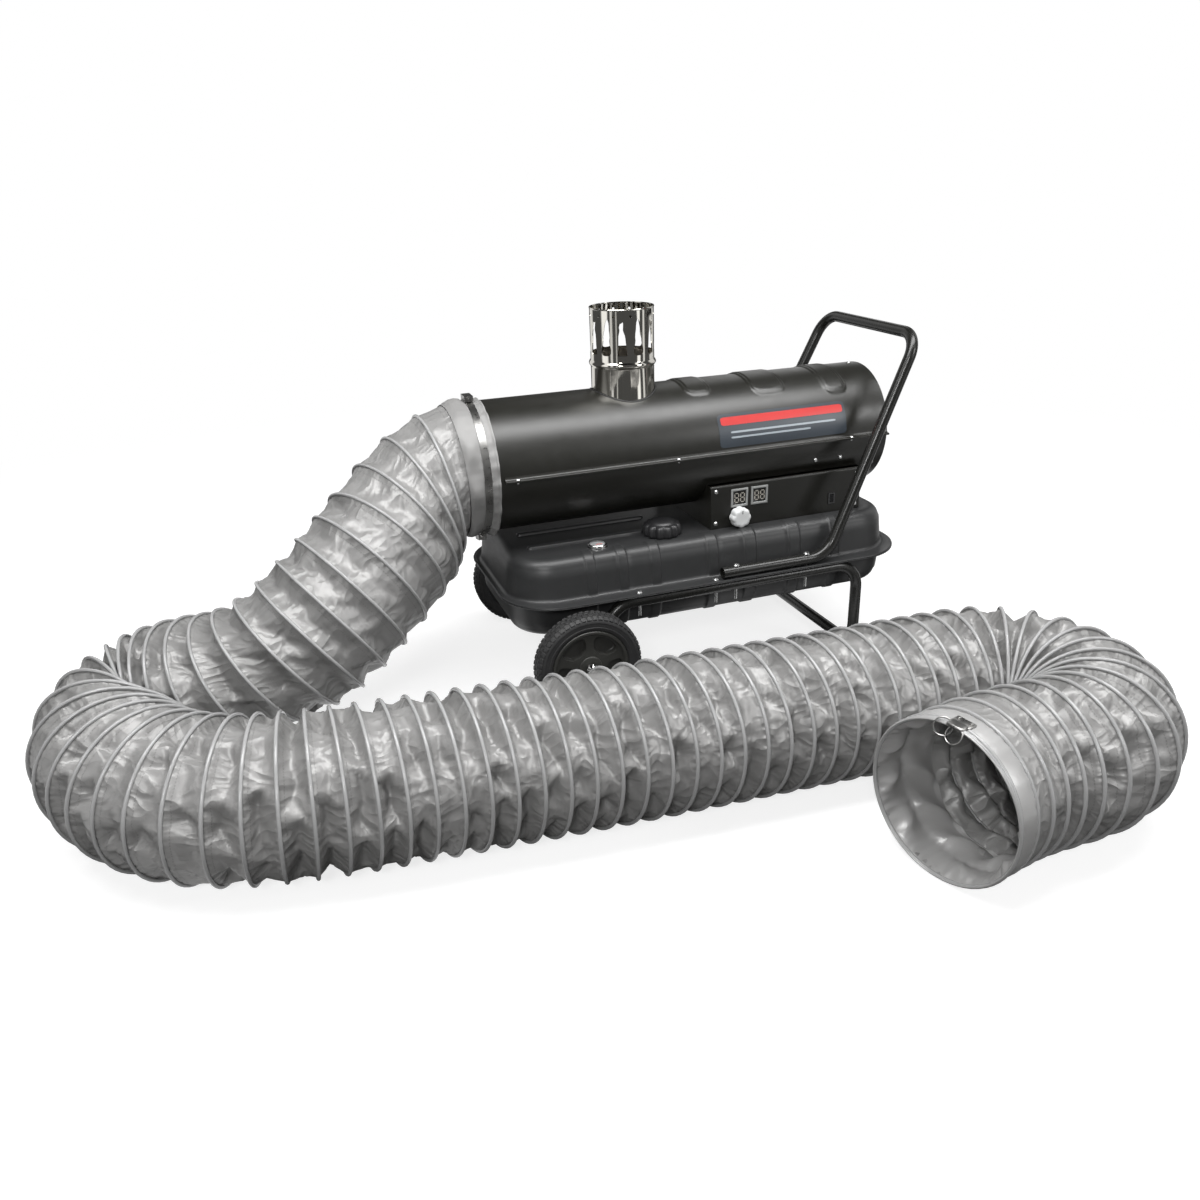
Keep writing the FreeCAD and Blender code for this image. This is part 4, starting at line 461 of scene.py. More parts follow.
def panelShine(at, x, y):
    turn = x.maths("ARCTAN2", y, x) * (180.0 / math.pi)
    shine = 0.0 * x + studio["mirrored"]
    for middle, half, level in studio["panels"]:
        off = abs((turn - middle + 180.0) % 360.0 - 180.0)
        shine = shine + fadeOut(at, off, half * 0.7, half * 1.3, level)
    return shine


def makeFloor():
    deselect()
    bpy.ops.mesh.primitive_grid_add(x_subdivisions=4, y_subdivisions=4, size=studio["floor"])
    floor = settle(bpy.context.object, "floor")
    mat, at, shader, place = newFinish("paleFloor", specular=0.1)
    tree = mat.node_tree
    camera = at.node("LightPath", out="Is Camera Ray")
    pale = studio["floorTone"] + camera * (studio["floorSeen"] - studio["floorTone"])
    feed(mat, shader, colour=grey(at, pale))
    shader.inputs["Roughness"].default_value = 0.9
    x, y, _ = axesOf(at, place)
    outX = x - studio["middle"][0]
    outY = y - studio["middle"][1]
    reach = x.maths("SQRT", outX * outX + outY * outY)
    near = fadeOut(at, reach, *studio["near"], 1.0)
    # stands in for the light that the floor itself would need to look white
    glow = 1.0 + near * studio["glow"]
    white = at.node("Emission", None, {"Color": grey(at, glow)})
    seen = camera * (1.0 - near * studio["shade"])
    mixed = at.node("MixShader", None, {0: seen, 1: Sock(tree, shader.outputs[0]), 2: white})
    streak = panelShine(at, x - studio["mirrorAt"], y)
    cards = at.node("Emission", None, {"Color": grey(at, streak)})
    mirror = at.node("LightPath", out="Is Glossy Ray")
    mixed = at.node("MixShader", None, {0: mirror, 1: mixed, 2: cards})
    tree.links.new(mixed.socket, tree.nodes["Material Output"].inputs["Surface"])
    floor.data.materials.append(mat)


def makeWorld():
    world = bpy.data.worlds.new("studio")
    scene.world = world
    world.use_nodes = True
    air = Sock(world.node_tree)
    back = world.node_tree.nodes["Background"]
    x, y, z = axesOf(air, air.node("TexCoord", out="Generated"))
    shine = panelShine(air, x, y) * (z < studio["mirrorTop"])
    camera, mirror, through = (air.node("LightPath", out="Is %s Ray" % kind)
                               for kind in ("Camera", "Glossy", "Transmission"))
    clear = camera.maths("MAXIMUM", camera, through)
    level = clear + (1.0 - clear) * (mirror * shine + (1.0 - mirror) * studio["ambient"])
    world.node_tree.links.new(level.socket, back.inputs["Strength"])
    back.inputs["Color"].default_value = (1.0, 1.0, 1.0, 1.0)


def makeLamps():
    for name, (place, aim, size, power) in studio["lamps"].items():
        data = bpy.data.lights.new(name, "AREA")
        data.shape = "RECTANGLE"
        data.size, data.size_y = size
        data.energy = power
        lamp = bpy.data.objects.new(name, data)
        scene.collection.objects.link(lamp)
        lamp.location = place
        lamp.rotation_euler = (Vector(aim) - Vector(place)).to_track_quat("-Z", "Y").to_euler()


makeCamera()
makeFloor()
makeWorld()
makeLamps()
print("camera and studio set")


# duct: cloth strip wound on a wire, laid on the route
ductShape = {
    "route": [(-392, 0, 427), (-424, 0, 427), (-460, 0, 427), (-530, -35, 382), (-609, -98, 320),
              (-690, -134, 254), (-772, -133, 184), (-862, -94, 138), (-959, -82, 125), (-1040, -122, 124),
              (-1082, -199, 124), (-1071, -294, 124), (-1022, -396, 124), (-933, -475, 124),
              (-794, -511, 124), (-607, -530, 124), (-385, -550, 124), (-151, -564, 124), (43, -574, 124),
              (170, -580, 124), (271, -583, 124), (319, -602, 124), (355, -638, 124), (375, -685, 124),
              (375, -736, 124), (355, -783, 124), (319, -819, 124), (271, -838, 124), (186, -837, 124),
              (100, -842, 124), (11, -866, 124)],
    "radius": 0.1235, "hangRise": 0.0075, "cuff": 0.062, "trim": 0.004, "pitch": 0.0370, "wideStep": 0.0135,
    "round": 132, "rows": 8, "piping": 0.0030, "wireSteps": 60, "seed": 4, "settleFrames": 8,
    "clothUnder": 0.0042, "sag": 0.0040, "foldDepth": 0.0215, "foldGap": 0.029, "foldShare": 0.56,
    "reach": 0.06, "late": 0.12, "straight": 47, "bend": 0.24,
    "hoopTurn": 0.20, "hoopFrom": 1.08, "hoopTo": 2.50,
}


def readRoute():
    curve = bpy.data.curves.new("ductLine", "CURVE")
    curve.dimensions = "3D"
    curve.resolution_u = 24
    spline = curve.splines.new("NURBS")
    spline.points.add(len(ductShape["route"]) - 1)
    for spot, place in zip(spline.points, ductShape["route"]):
        spot.co = (place[0] / 1000, place[1] / 1000, place[2] / 1000, 1)
    spline.order_u = 3
    spline.use_endpoint_u = True
    line = bpy.data.objects.new("ductLine", curve)
    scene.collection.objects.link(line)
    bpy.context.view_layer.update()
    read = bpy.data.meshes.new_from_object(line.evaluated_get(bpy.context.evaluated_depsgraph_get()))
    points = np.array([v.co[:] for v in read.vertices])
    bpy.data.objects.remove(line)
    bpy.data.meshes.remove(read)
    return points


routePoints = readRoute()
routeRun = np.concatenate([[0], np.cumsum(np.linalg.norm(np.diff(routePoints, axis=0), axis=1))])
ductLength = float(routeRun[-1])
ductEnd = ductLength - ductShape["trim"]


def unit(v):
    return v / np.linalg.norm(v, axis=-1, keepdims=True)


def routeAt(s):
    s = np.asarray(s, float)
    held = np.clip(s, 0, ductLength)
    spot = np.stack([np.interp(held, routeRun, routePoints[:, k]) for k in range(3)], -1)
    start = unit(routePoints[1] - routePoints[0])
    end = unit(routePoints[-1] - routePoints[-2])
    return spot + np.minimum(s, 0)[..., None] * start + np.maximum(s - ductLength, 0)[..., None] * end


# middle, heading, side and up of the duct at a run s; the cuff leaves the barrel straight
def ductFrame(s):
    s = np.asarray(s, float)
    # low on the hang the hoops keep the slope above them
    late = ductShape["late"] * ease((s - 0.30) / 0.25) * ease((1.10 - s) / 0.30)
    heading = unit(routeAt(s - late + ductShape["reach"]) - routeAt(s - late - ductShape["reach"]))
    straight = np.array([-1.0, 0, 0])
    off = np.degrees(np.arccos(np.clip(heading @ straight, -1, 1)))
    free = np.maximum(0, s * 1000 - ductShape["straight"]) * ductShape["bend"]
    share = np.clip(free / np.maximum(off, 0.000001), 0, 1)[..., None]
    heading = unit(straight * (1 - share) + heading * share)
    side = unit(np.cross([0, 0, 1.0], heading))
    # along the front run the hoops stand askew
    skew = ductShape["hoopTurn"] * ease((s - ductShape["hoopFrom"]) / 0.35)
    skew = (skew * ease((ductShape["hoopTo"] - s) / 0.45))[..., None]
    ahead = heading * np.cos(skew) + side * np.sin(skew)
    side = side * np.cos(skew) - heading * np.sin(skew)
    return routeAt(s), ahead, side, np.cross(ahead, side)


def ductRadius(s):
    s = np.asarray(s, float)
    hang = ease((0.24 - s / ductLength) / 0.08) * ease((s - 0.052) / 0.08)
    return ductShape["radius"] + ductShape["hangRise"] * hang


def ductPoint(s, angle, radius):
    middle, heading, side, up = ductFrame(s)
    return middle + side * (radius * np.cos(angle))[..., None] + up * (radius * np.sin(angle))[..., None]


def ductRing(s, turn, radius):
    return ductPoint(np.full(len(turn), s), -turn, np.broadcast_to(radius, len(turn)))


runTable = np.linspace(ductShape["cuff"], ductEnd, 4000)
pitchTable = ductShape["pitch"] + ductShape["wideStep"] * ease((0.85 - runTable) / 0.3)
turnTable = np.concatenate([[0], np.cumsum(np.diff(runTable) / pitchTable[:-1])])
turnCount = int(round(turnTable[-1]))
turnTable *= turnCount / turnTable[-1]
print("duct length %.3f m, %d turns" % (ductLength, turnCount))


# run of the wire at a turn; the first and the last turn lie flat as hoops
def runOfTurn(turn):
    return np.interp(np.clip(turn - 1, 0, turnCount), turnTable, runTable)


# facets between the wires: flat triangles over scattered points, 1 at the deepest
def clothFacets(turn, share, dice):
    along = turn * 2 * math.pi * ductShape["radius"] / ductShape["foldGap"]
    count = int(along.max()) + 8
    rows = []
    for row, level in enumerate((0.0, 0.5, 1.0)):
        wire = row in (0, 2)
        spot = np.arange(count) - 3 + 0.5 * (row % 2) + dice.uniform(-0.32, 0.32, count)
        height = np.full(count, level)
        if not wire:
            height = height + dice.uniform(-0.20, 0.20, count)
        deep = dice.uniform(0.62, 1.0, count) * (dice.uniform(0, 1, count) < ductShape["foldShare"])
        deep = deep + dice.uniform(0.0, 0.22, count)
        rows.append((spot, height, deep * (not wire)))
    field = np.zeros(len(along))
    base = np.floor(along).astype(int) + 3

    def cover(corners):
        (x0, y0, h0), (x1, y1, h1), (x2, y2, h2) = corners
        area = (x1 - x0) * (y2 - y0) - (x2 - x0) * (y1 - y0)
        a = ((x1 - along) * (y2 - share) - (x2 - along) * (y1 - share)) / area
        b = ((x2 - along) * (y0 - share) - (x0 - along) * (y2 - share)) / area
        inside = (a >= -0.0001) & (b >= -0.0001) & (a + b <= 1.0001)
        field[inside] = (a * h0 + b * h1 + (1 - a - b) * h2)[inside]

    for lower, upper in zip(rows, rows[1:]):
        for step in (-2, -1, 0, 1, 2):
            here = np.clip(base + step, 0, count - 2)
            low, top = ([c[here] for c in line] for line in (lower, upper))
            lowNext, topNext = ([c[here + 1] for c in line] for line in (lower, upper))
            cover((low, lowNext, top))
            cover((lowNext, topNext, top))
    return field


def makeDuctCloth():
    around, rows = ductShape["round"], ductShape["rows"]
    strips = turnCount + 1
    step, row = np.meshgrid(np.arange(strips * around), np.arange(rows), indexing="ij")
    turn = step / around
    low, high = runOfTurn(turn), runOfTurn(turn + 1)
    lastTurn = np.arange(strips * around, (strips + 1) * around) / around
    across = np.concatenate([(row / rows).ravel(), np.zeros(around)])
    turn = np.concatenate([turn.ravel(), lastTurn])
    run = np.concatenate([(low + (high - low) * row / rows).ravel(), runOfTurn(lastTurn)])
    dice = np.random.default_rng(ductShape["seed"])
    sag = 4 * across * (1 - across)
    # the last strips lie smooth over the turned-in cuff, and the hang is pulled almost flat
    calm = 0.06 + 0.94 * ease((ductLength - 0.075 - run) / 0.06)
    calm = calm * (0.46 + 0.54 * ease((run - 0.30) / 0.40))
    sink = ductShape["sag"] * sag + ductShape["foldDepth"] * clothFacets(turn, across, dice)
    radius = ductRadius(run) - ductShape["clothUnder"] - sink * calm
    places = ductPoint(run, -2 * math.pi * turn, radius)

    def index(a, b):
        if b == rows:
            a, b = a + around, 0
        return strips * around * rows + a - strips * around if a >= strips * around else a * rows + b

    faces = []
    for a in range(strips * around - 1):
        for b in range(rows):
            corner = (index(a, b), index(a + 1, b), index(a + 1, b + 1), index(a, b + 1))
            if len(set(corner)) == 4:
                faces.append(corner)
    mesh = bpy.data.meshes.new("ductCloth")
    mesh.from_pydata(places.tolist(), [], faces)
    chart = mesh.uv_layers.new(name="chart")
    corners = np.zeros(len(mesh.loops), int)
    mesh.loops.foreach_get("vertex_index", corners)
    reach = np.stack([turn * 2 * math.pi * ductShape["radius"], across * clothChart["width"]], -1)
    flat = reach[corners].reshape(-1, 4, 2)
    # top edge of a strip is the next strip's start, so its chart place is set from the face
    topEdge = (flat[:, 2:, 1] == 0) & (flat[:, 1:2, 1] > 0.001)
    flat[:, 2:, 0] -= topEdge * 2 * math.pi * ductShape["radius"]
    flat[:, 2:, 1] += topEdge * clothChart["width"]
    chart.data.foreach_set("uv", flat.ravel())
    cloth = bpy.data.objects.new("ductCloth", mesh)
    scene.collection.objects.link(cloth)
    held = np.where((across == 0) | (turn < 1.0) | (turn > strips - 3.0))[0]
    cloth.vertex_groups.new(name="wire").add([int(k) for k in held], 1.0, "REPLACE")
    settleCloth(cloth)
    faceOut(cloth)
    hoops = ((turn >= 1) & (turn < 2)) | ((turn >= strips - 1) & (turn < strips))
    seam = set(np.where((across == 0) & hoops)[0].tolist())
    pickIn(cloth, "EDGE", lambda edge: edge.verts[0].index in seam and edge.verts[1].index in seam)
    bpy.ops.mesh.edge_split(type="EDGE")  # the end hems are sewn on as strips of their own
    bpy.ops.object.mode_set(mode="OBJECT")
    bpy.ops.object.shade_smooth()
    cloth.vertex_groups.clear()
    return cloth


# the cloth is cut a little longer than its strips and drawn inward, so it folds between the wires
clothWeave = {
    "quality": 4, "mass": 0.15, "tension_stiffness": 30, "compression_stiffness": 30, "shear_stiffness": 12,
    "bending_stiffness": 0.3, "tension_damping": 12, "compression_damping": 12, "shear_damping": 12,
    "bending_damping": 2, "air_damping": 3, "vertex_group_mass": "wire", "pin_stiffness": 50,
    "shrink_min": -0.02, "use_pressure": True, "uniform_pressure_force": -2.0,
}


def settleCloth(cloth):
    only(cloth)
    mod = cloth.modifiers.new("cloth", "CLOTH")
    for key, value in clothWeave.items():
        setattr(mod.settings, key, value)
    mod.settings.effector_weights.gravity = 0.1
    mod.point_cache.frame_start = 1
    mod.point_cache.frame_end = 40
    for number in range(1, ductShape["settleFrames"] + 1):
        scene.frame_set(number)
    bpy.ops.object.modifier_apply(modifier="cloth")
    scene.frame_set(1)


def sweptTube(name, path, radius):
    curve = bpy.data.curves.new(name, "CURVE")
    curve.dimensions = "3D"
    curve.bevel_depth = radius
    curve.bevel_resolution = 2
    curve.use_fill_caps = True
    spline = curve.splines.new("POLY")
    spline.points.add(len(path) - 1)
    spline.points.foreach_set("co", np.hstack([path, np.ones((len(path), 1))]).ravel())
    wire = bpy.data.objects.new(name, curve)
    scene.collection.objects.link(wire)
    only(wire)
    bpy.ops.object.convert(target="MESH")
    return settle(bpy.context.object, name)


ductCloth = makeDuctCloth()
fitted(ductCloth, finishes["duct_cloth"], "duct_cloth", "duct")
wireSteps = ductShape["wireSteps"]
wireTurn = np.arange(wireSteps * 3 // 2, (turnCount + 2) * wireSteps) / wireSteps
wireRun = runOfTurn(wireTurn)
wirePath = ductPoint(wireRun, -2 * math.pi * wireTurn, ductRadius(wireRun) - ductShape["piping"])
pipingFinish = moulded("pipingVinyl", (0.34, 0.34, 0.34), 0.22, 700.0, 0.04)
ductPiping = sweptTube("ductPiping", wirePath, ductShape["piping"])
smooth(ductPiping, 60)
fitted(ductPiping, pipingFinish, "duct_cloth")
print("duct laid")


# fine gathers round a sewn edge
def tucksAt(turn, first, sway, second):
    wave = np.sin(first * turn + 1.5 * np.sin(sway * turn))
    return wave + 0.6 * np.sin(second * turn + 2.0 * np.sin(3 * turn))


# chart of a skin, from the ring and the spot on it that each corner has
def chartRings(piece, count, place):
    chart = piece.data.uv_layers.new(name="chart")
    for loop in piece.data.loops:
        chart.data[loop.index].uv = place(*divmod(loop.vertex_index, count))


# cuff over the barrel's end: hem, band, puckers; rings give run, rise, pucker, flare and drape
cuffShape = {
    "count": 168, "radius": 0.1224, "outlet": (-0.392, 0.427),
    "rings": [(0.000, 0.0016, 0.3, 1.0, 0.0), (0.003, 0.0024, 0.3, 1.0, 0.0),
              (0.0033, 0.0018, 0.4, 0.9, 0.0),
              (0.008, 0.0019, 0.6, 0.6, 0.0), (0.014, 0.0012, 0.7, 0.1, 0.0),
              (0.0165, 0.0009, 0.1, 0.0, 0.0),
              (0.029, 0.0009, 0.1, 0.0, 0.0), (0.032, 0.0016, 0.4, 0.0, 0.2), (0.038, 0.0030, 0.3, 0.0, 0.8),
              (0.045, 0.0036, 0.2, 0.0, 1.0), (0.052, 0.0030, 0.2, 0.0, 0.8), (0.058, 0.0008, 0.2, 0.0, 0.3),
              (0.062, -0.0012, 0.0, 0.0, 0.0)],
}


def makeCuff():
    count = cuffShape["count"]
    turn = turnsOf(count)
    pucker = tucksAt(turn, 41, 5, 67)
    ripple = np.sin(17 * turn) + 0.7 * np.sin(29 * turn + 1.0)
    under = np.maximum(0, np.sin(turn)) ** 2
    broad = np.sin(7 * turn + 1.1 * np.sin(2 * turn)) + 0.6 * np.sin(11 * turn + 0.7)
    rings = []
    for run, rise, fold, flare, drape in cuffShape["rings"]:
        radius = (cuffShape["radius"] + rise + 0.0008 * fold * pucker + 0.0012 * flare * ripple
                  + 0.0075 * flare * under + 0.0026 * drape * broad)
        rings.append(ductRing(run, turn, radius))
    cuff = skinRings("ductCuff", rings)
    outletX, outletZ = cuffShape["outlet"]

    def place(ring, spot):
        co = cuff.data.vertices[ring * count + spot].co
        return math.atan2(co.z - outletZ, co.y) * 0.123, outletX - co.x

    chartRings(cuff, count, place)
    return smooth(cuff, 80)


hemFinish = coatedCloth("hemCloth", (0.265, 0.262, 0.258), 0.58, folded=0.5)
ductCuff = makeCuff()
fitted(ductCuff, hemFinish, "duct_cloth")

# mouth: hoop at the rim, cloth turned inside it, stitched hem and loose folds
mouthShape = {
    "count": 240, "radius": 0.1192, "strip": 0.0475, "deep": 0.097, "steps": 30, "droop": 0.007,
    "hemThick": 0.0011,
    "hoop": [(-0.0015, 0.1212), (0.0010, 0.1222), (0.0032, 0.1218), (0.0040, 0.1204)],
    "hem": [0.0982, 0.0978, 0.0920],
}


def makeMouth():
    count, strip, deep, steps = (mouthShape[key] for key in ("count", "strip", "deep", "steps"))
    turn = turnsOf(count)
    tuck = tucksAt(turn, 47, 7, 31)
    wide = 0.5 + 0.5 * np.sin(2 * turn + 0.4 + 0.8 * np.sin(turn))
    rings = [ductRing(ductEnd + run, turn, radius) for run, radius in mouthShape["hoop"]]
    depths = [0.0] * len(rings)
    for number, depth in enumerate(np.concatenate([np.linspace(-0.003, deep, steps), mouthShape["hem"]])):
        inside = max(0.0, depth)
        panel, part = divmod(inside / strip, 1.0)
        belly = math.sin(math.pi * part) if panel < 2 else 0.0
        lean = turn + (0.30 if panel else -0.24) * (part - 0.5)
        fold = 1 - 2 * np.abs(np.sin(4.5 * lean + 0.7 * np.sin(2 * lean + 1.7 * panel) + 2.0 * panel))
        gather = 0.0019 * min(1.0, inside / 0.006) * math.exp(-inside / 0.013)
        gather = gather + 0.0009 * math.exp(-abs(depth - strip) / 0.007)
        edge = float(ease((depth - 0.070) / 0.024))
        radius = mouthShape["radius"] - 0.05 * inside + gather * tuck
        radius = radius - belly * (0.0062 + 0.0050 * wide + 0.0058 * fold) - edge * (0.0070 + 0.0030 * fold)
        radius = radius + mouthShape["hemThick"] * max(0, number - steps)  # hem turned back on itself
        drop = np.array([0, 0, mouthShape["droop"]]) * edge
        rings.append(ductRing(ductEnd - depth, turn, radius) - drop)
        depths.append(inside)
    mouth = skinRings("ductMouthHem", rings, outward=False)
    chartRings(mouth, count, lambda ring, spot: (turn[spot] * 0.12 + depths[ring] * 0.35,
                                                 min(deep - depths[ring], clothChart["width"] / 2)))
    return smooth(mouth, 80)


# the mouth's cloth is a lighter copy of the duct cloth: painted light inside the mouth and on the strap
paintedLightMouthCloth = coatedCloth("mouthClothPaintedLight", (0.40, 0.397, 0.393), 0.36, folded=0.6)
ductMouthHem = makeMouth()
fitted(ductMouthHem, paintedLightMouthCloth, "duct_cloth")

# strap over the last wire: cloth sewn flat round a thin steel band; rings give run, radius and gather
strapShape = {
    "count": 160,
    "rings": [(-0.0430, 0.1182, 0.4), (-0.0415, 0.1196, 0.8), (-0.0370, 0.1211, 0.7),
              (-0.0300, 0.1219, 0.3), (-0.0240, 0.1221, 0.1), (-0.0160, 0.1220, 0.1),
              (-0.0080, 0.1215, 0.3), (-0.0020, 0.1204, 0.3)],
}


def makeMouthStrap():
    count = strapShape["count"]
    turn = turnsOf(count)
    tuck = tucksAt(turn, 37, 5, 53)
    rings = [ductRing(ductEnd + run, turn, radius + 0.0006 * small * tuck)
             for run, radius, small in strapShape["rings"]]
    strap = skinRings("mouthStrap", rings)
    chartRings(strap, count, lambda ring, spot: (turn[spot] * 0.12, 0.012 + 0.003 * ring))
    return smooth(strap, 80)


mouthStrap = makeMouthStrap()
# the strap wears the mouth's lighter cloth: painted light
fitted(mouthStrap, paintedLightMouthCloth, "duct_cloth", "end_clamp_band")

# over-centre latch on the rim: riveted plate, folded lever, wire loops with place, tilt and swing
latchShape = {
    "back": 0.013, "radius": 0.1222, "lean": 0.05, "rivets": (-0.0098, 0.0098),
    "rivet": [(0.0026, 0.0014), (0.0026, 0.0022), (0.0020, 0.0031), (0.0008, 0.0035), (0.0001, 0.0035)],
    "loops": [((-0.0040, -0.0175, -0.0085), 1.05, 0.12), ((0.0165, -0.0140, -0.0065), 0.85, -0.45)],
}


def makeLatch():
    plate = blockAt("plate", (-0.015, -0.003, 0.0), (0.015, 0.014, 0.0016), 0.0006, 2)
    roll = blockAt("roll", (-0.013, -0.0150, -0.0030), (0.013, 0.0005, 0.0034), 0.0026, 4)
    parts = [plate, roll]
    for x in latchShape["rivets"]:
        parts.append(turned("rivet", latchShape["rivet"], (x, 0.0090, 0), "z", 16))
    for place, tilt, swing in latchShape["loops"]:
        deselect()
        bpy.ops.mesh.primitive_torus_add(major_radius=0.0125, minor_radius=0.0011, major_segments=32,
                                         minor_segments=8, location=place, rotation=(tilt, swing, 0))
        parts.append(settle(bpy.context.object, "loop"))
    latch = joined("mouthLatch", parts)
    middle, heading, side, up = (v[0] for v in ductFrame(np.array([ductLength - latchShape["back"]])))
    lift = up * math.cos(latchShape["lean"]) + side * math.sin(latchShape["lean"])
    across = np.cross(lift, -heading)
    stand = Matrix((across, -heading, lift)).transposed().to_4x4()
    latch.data.transform(Matrix.Translation(Vector(middle + lift * latchShape["radius"])) @ stand)
    return smooth(latch, 35)


mouthLatch = makeLatch()
fitted(mouthLatch, strapSteel, "zinc")
print("duct ends made")


# tank pressing: flange, drafted wall, rounded shoulder, raised bands
tankShape = {
    "front": -0.391, "rear": 0.412, "half": 0.172, "corner": 0.086, "seam": 0.203, "draft": 0.007,
    "edge": 0.022, "flangeFront": -0.405, "flangeRear": 0.430, "flangeHalf": 0.206, "flangeCorner": 0.108,
    "plate": 0.0016, "upperHeight": 0.077, "lowerHeight": 0.073, "root": 0.007,
    "bands": [(-0.255, -0.237), (-0.192, -0.174), (-0.127, -0.108), (-0.010, 0.011), (0.068, 0.092),
              (0.164, 0.188), (0.257, 0.275)], "bandRise": 0.0024, "bandEdge": 0.0024,
    "ridges": [(-0.332, -0.083, 0.002), (-0.334, -0.116, -0.080), (-0.334, -0.116, 0.084)],
    "neckAt": (-0.078, -0.104), "neck": [(0.032, 0.0), (0.030, 0.001), (0.0262, 0.0012), (0.026, 0.002),
                                         (0.026, 0.012), (0.024, 0.012), (0.024, -0.002)],
}


# places along the long sides as shares, close together at the bands' edges
def tankStations():
    low, high = tankShape["front"] + tankShape["corner"], tankShape["rear"] - tankShape["corner"]
    spots = set(np.round(np.linspace(low, high, 45), 5))
    for edge in np.ravel(tankShape["bands"]):
        for step in (-0.0024, -0.0012, 0.0, 0.0012, 0.0024):
            spots.add(round(edge + step, 5))
    spots = sorted(s for s in spots if low <= s <= high)
    kept = [spots[0]]
    for s in spots[1:]:
        if s - kept[-1] > 0.0007:
            kept.append(s)
    return (np.array(kept) - low) / (high - low)


tankRun = tankStations()


# points of a rounded rectangle
def tankOutline(front, rear, half, corner, inset=0.0):
    front, rear, half, corner = front + inset, rear - inset, half - inset, max(corner - inset, 0.004)
    arc = np.linspace(0, math.pi / 2, 17)[1:-1]
    ends = np.linspace(-1, 1, 15)
    long = front + corner + tankRun * (rear - front - 2 * corner)
    points = [(x, -half) for x in long]
    points += [(rear - corner + corner * math.sin(a), -half + corner - corner * math.cos(a)) for a in arc]
    points += [(rear, k * (half - corner)) for k in ends]
    points += [(rear - corner + corner * math.cos(a), half - corner + corner * math.sin(a)) for a in arc]
    points += [(x, half) for x in long[::-1]]
    points += [(front + corner - corner * math.sin(a), half - corner + corner * math.cos(a)) for a in arc]
    points += [(front, -k * (half - corner)) for k in ends]
    points += [(front + corner - corner * math.cos(a), -half + corner - corner * math.sin(a)) for a in arc]
    return np.array(points)


def tankBody(inset):
    return tankOutline(*(tankShape[key] for key in ("front", "rear", "half", "corner")), inset)


def tankFlange(inset):
    return tankOutline(*(tankShape["flange" + key] for key in ("Front", "Rear", "Half", "Corner")), inset)


def bandShare(x):
    share = np.zeros(len(x))
    edge = tankShape["bandEdge"]
    for low, high in tankShape["bands"]:
        share = np.maximum(share, ease((x - low + edge) / 0.0040) * ease((high + edge - x) / 0.0040))
    return share


def makeTankHalf(name, height, way):
    edge, draft, root, plate = (tankShape[key] for key in ("edge", "draft", "root", "plate"))
    wall = height - edge
    rise = tankShape["bandRise"]
    start = 0.0 if way > 0 else 0.0002

    def ring(flat, level, push=0.0, lift=0.0):
        share = bandShare(flat[:, 0]) * (np.abs(flat[:, 1]) > tankShape["half"] * 0.6)
        out = np.sign(flat[:, 1]) * share * push
        level = level + share * lift
        return np.stack([flat[:, 0], flat[:, 1] + out, tankShape["seam"] + way * level], -1)

    rings = []
    for inset, level in ((0.010, 0.0), (0.0012, 0.0), (0.0002, 0.0008), (0.0008, plate + 0.0006),
                         (0.0022, plate + 0.0011), (0.0046, plate + 0.0004), (0.0062, plate)):
        rings.append(ring(tankFlange(inset), start + level))
    rings.append(ring(tankBody(-root - 0.004), start + plate))
    for a in np.linspace(0, 90, 6):
        turn = math.radians(a)
        level = start + plate + root * (1 - math.cos(turn))
        rings.append(ring(tankBody(-root + root * math.sin(turn)), level, rise * a / 90))
    for share in (0.25, 0.5, 0.75, 1.0):
        level = start + plate + root + (wall - plate - root) * share
        rings.append(ring(tankBody(draft * share * wall / height), level, rise))
    for a in np.linspace(10, 90, 9):
        turn = math.radians(a)
        rings.append(ring(tankBody(draft + edge * (1 - math.cos(turn))), wall + edge * math.sin(turn),
                          rise * math.cos(turn), rise * math.sin(turn)))
    for more, keep in ((0.004, 1.0), (0.008, 1.0), (0.0105, 0.85), (0.013, 0.3), (0.015, 0.0), (0.03, 0.0)):
        rings.append(ring(tankBody(draft + edge + more), height, 0.0, rise * keep))
    return skinRings(name, rings, endCap=True)


def makeRidge(front, rear, y, top, half=0.0062):
    arc = np.linspace(-math.pi / 2, math.pi / 2, 9)
    flat = [(rear + half * math.cos(a), half * math.sin(a)) for a in arc]
    flat += [(front - half * math.cos(a), -half * math.sin(a)) for a in arc]
    flat = np.array(flat)
    middle = np.clip(flat[:, 0], front, rear)
    rings = []
    for grow, lift in ((1.3, -0.0006), (1.2, 0.0006), (1.1, 0.0030), (0.92, 0.0044), (0.6, 0.0049),
                       (0.3, 0.0050)):
        rings.append(np.stack([middle + (flat[:, 0] - middle) * grow, y + flat[:, 1] * grow,
                               np.full(len(flat), top + lift)], -1))
    return skinRings("ridge", rings, endCap=True)


tankTopZ = tankShape["seam"] + tankShape["upperHeight"]
tankUpper = makeTankHalf("tankUpper", tankShape["upperHeight"], 1.0)
ridges = [makeRidge(*ridge, tankTopZ) for ridge in tankShape["ridges"]]
neck = turned("neck", tankShape["neck"], (*tankShape["neckAt"], tankTopZ - 0.0002), "z", 48)
tankUpper = joined("tankUpper", [tankUpper] + ridges + [neck])
tankLower = makeTankHalf("tankLower", tankShape["lowerHeight"], -1.0)
for half, node in ((tankUpper, "tank_upper"), (tankLower, "tank_lower")):
    fitted(smooth(half, 40), finishes["tank_coat"], "tank_coat", node)
print("tank pressed")


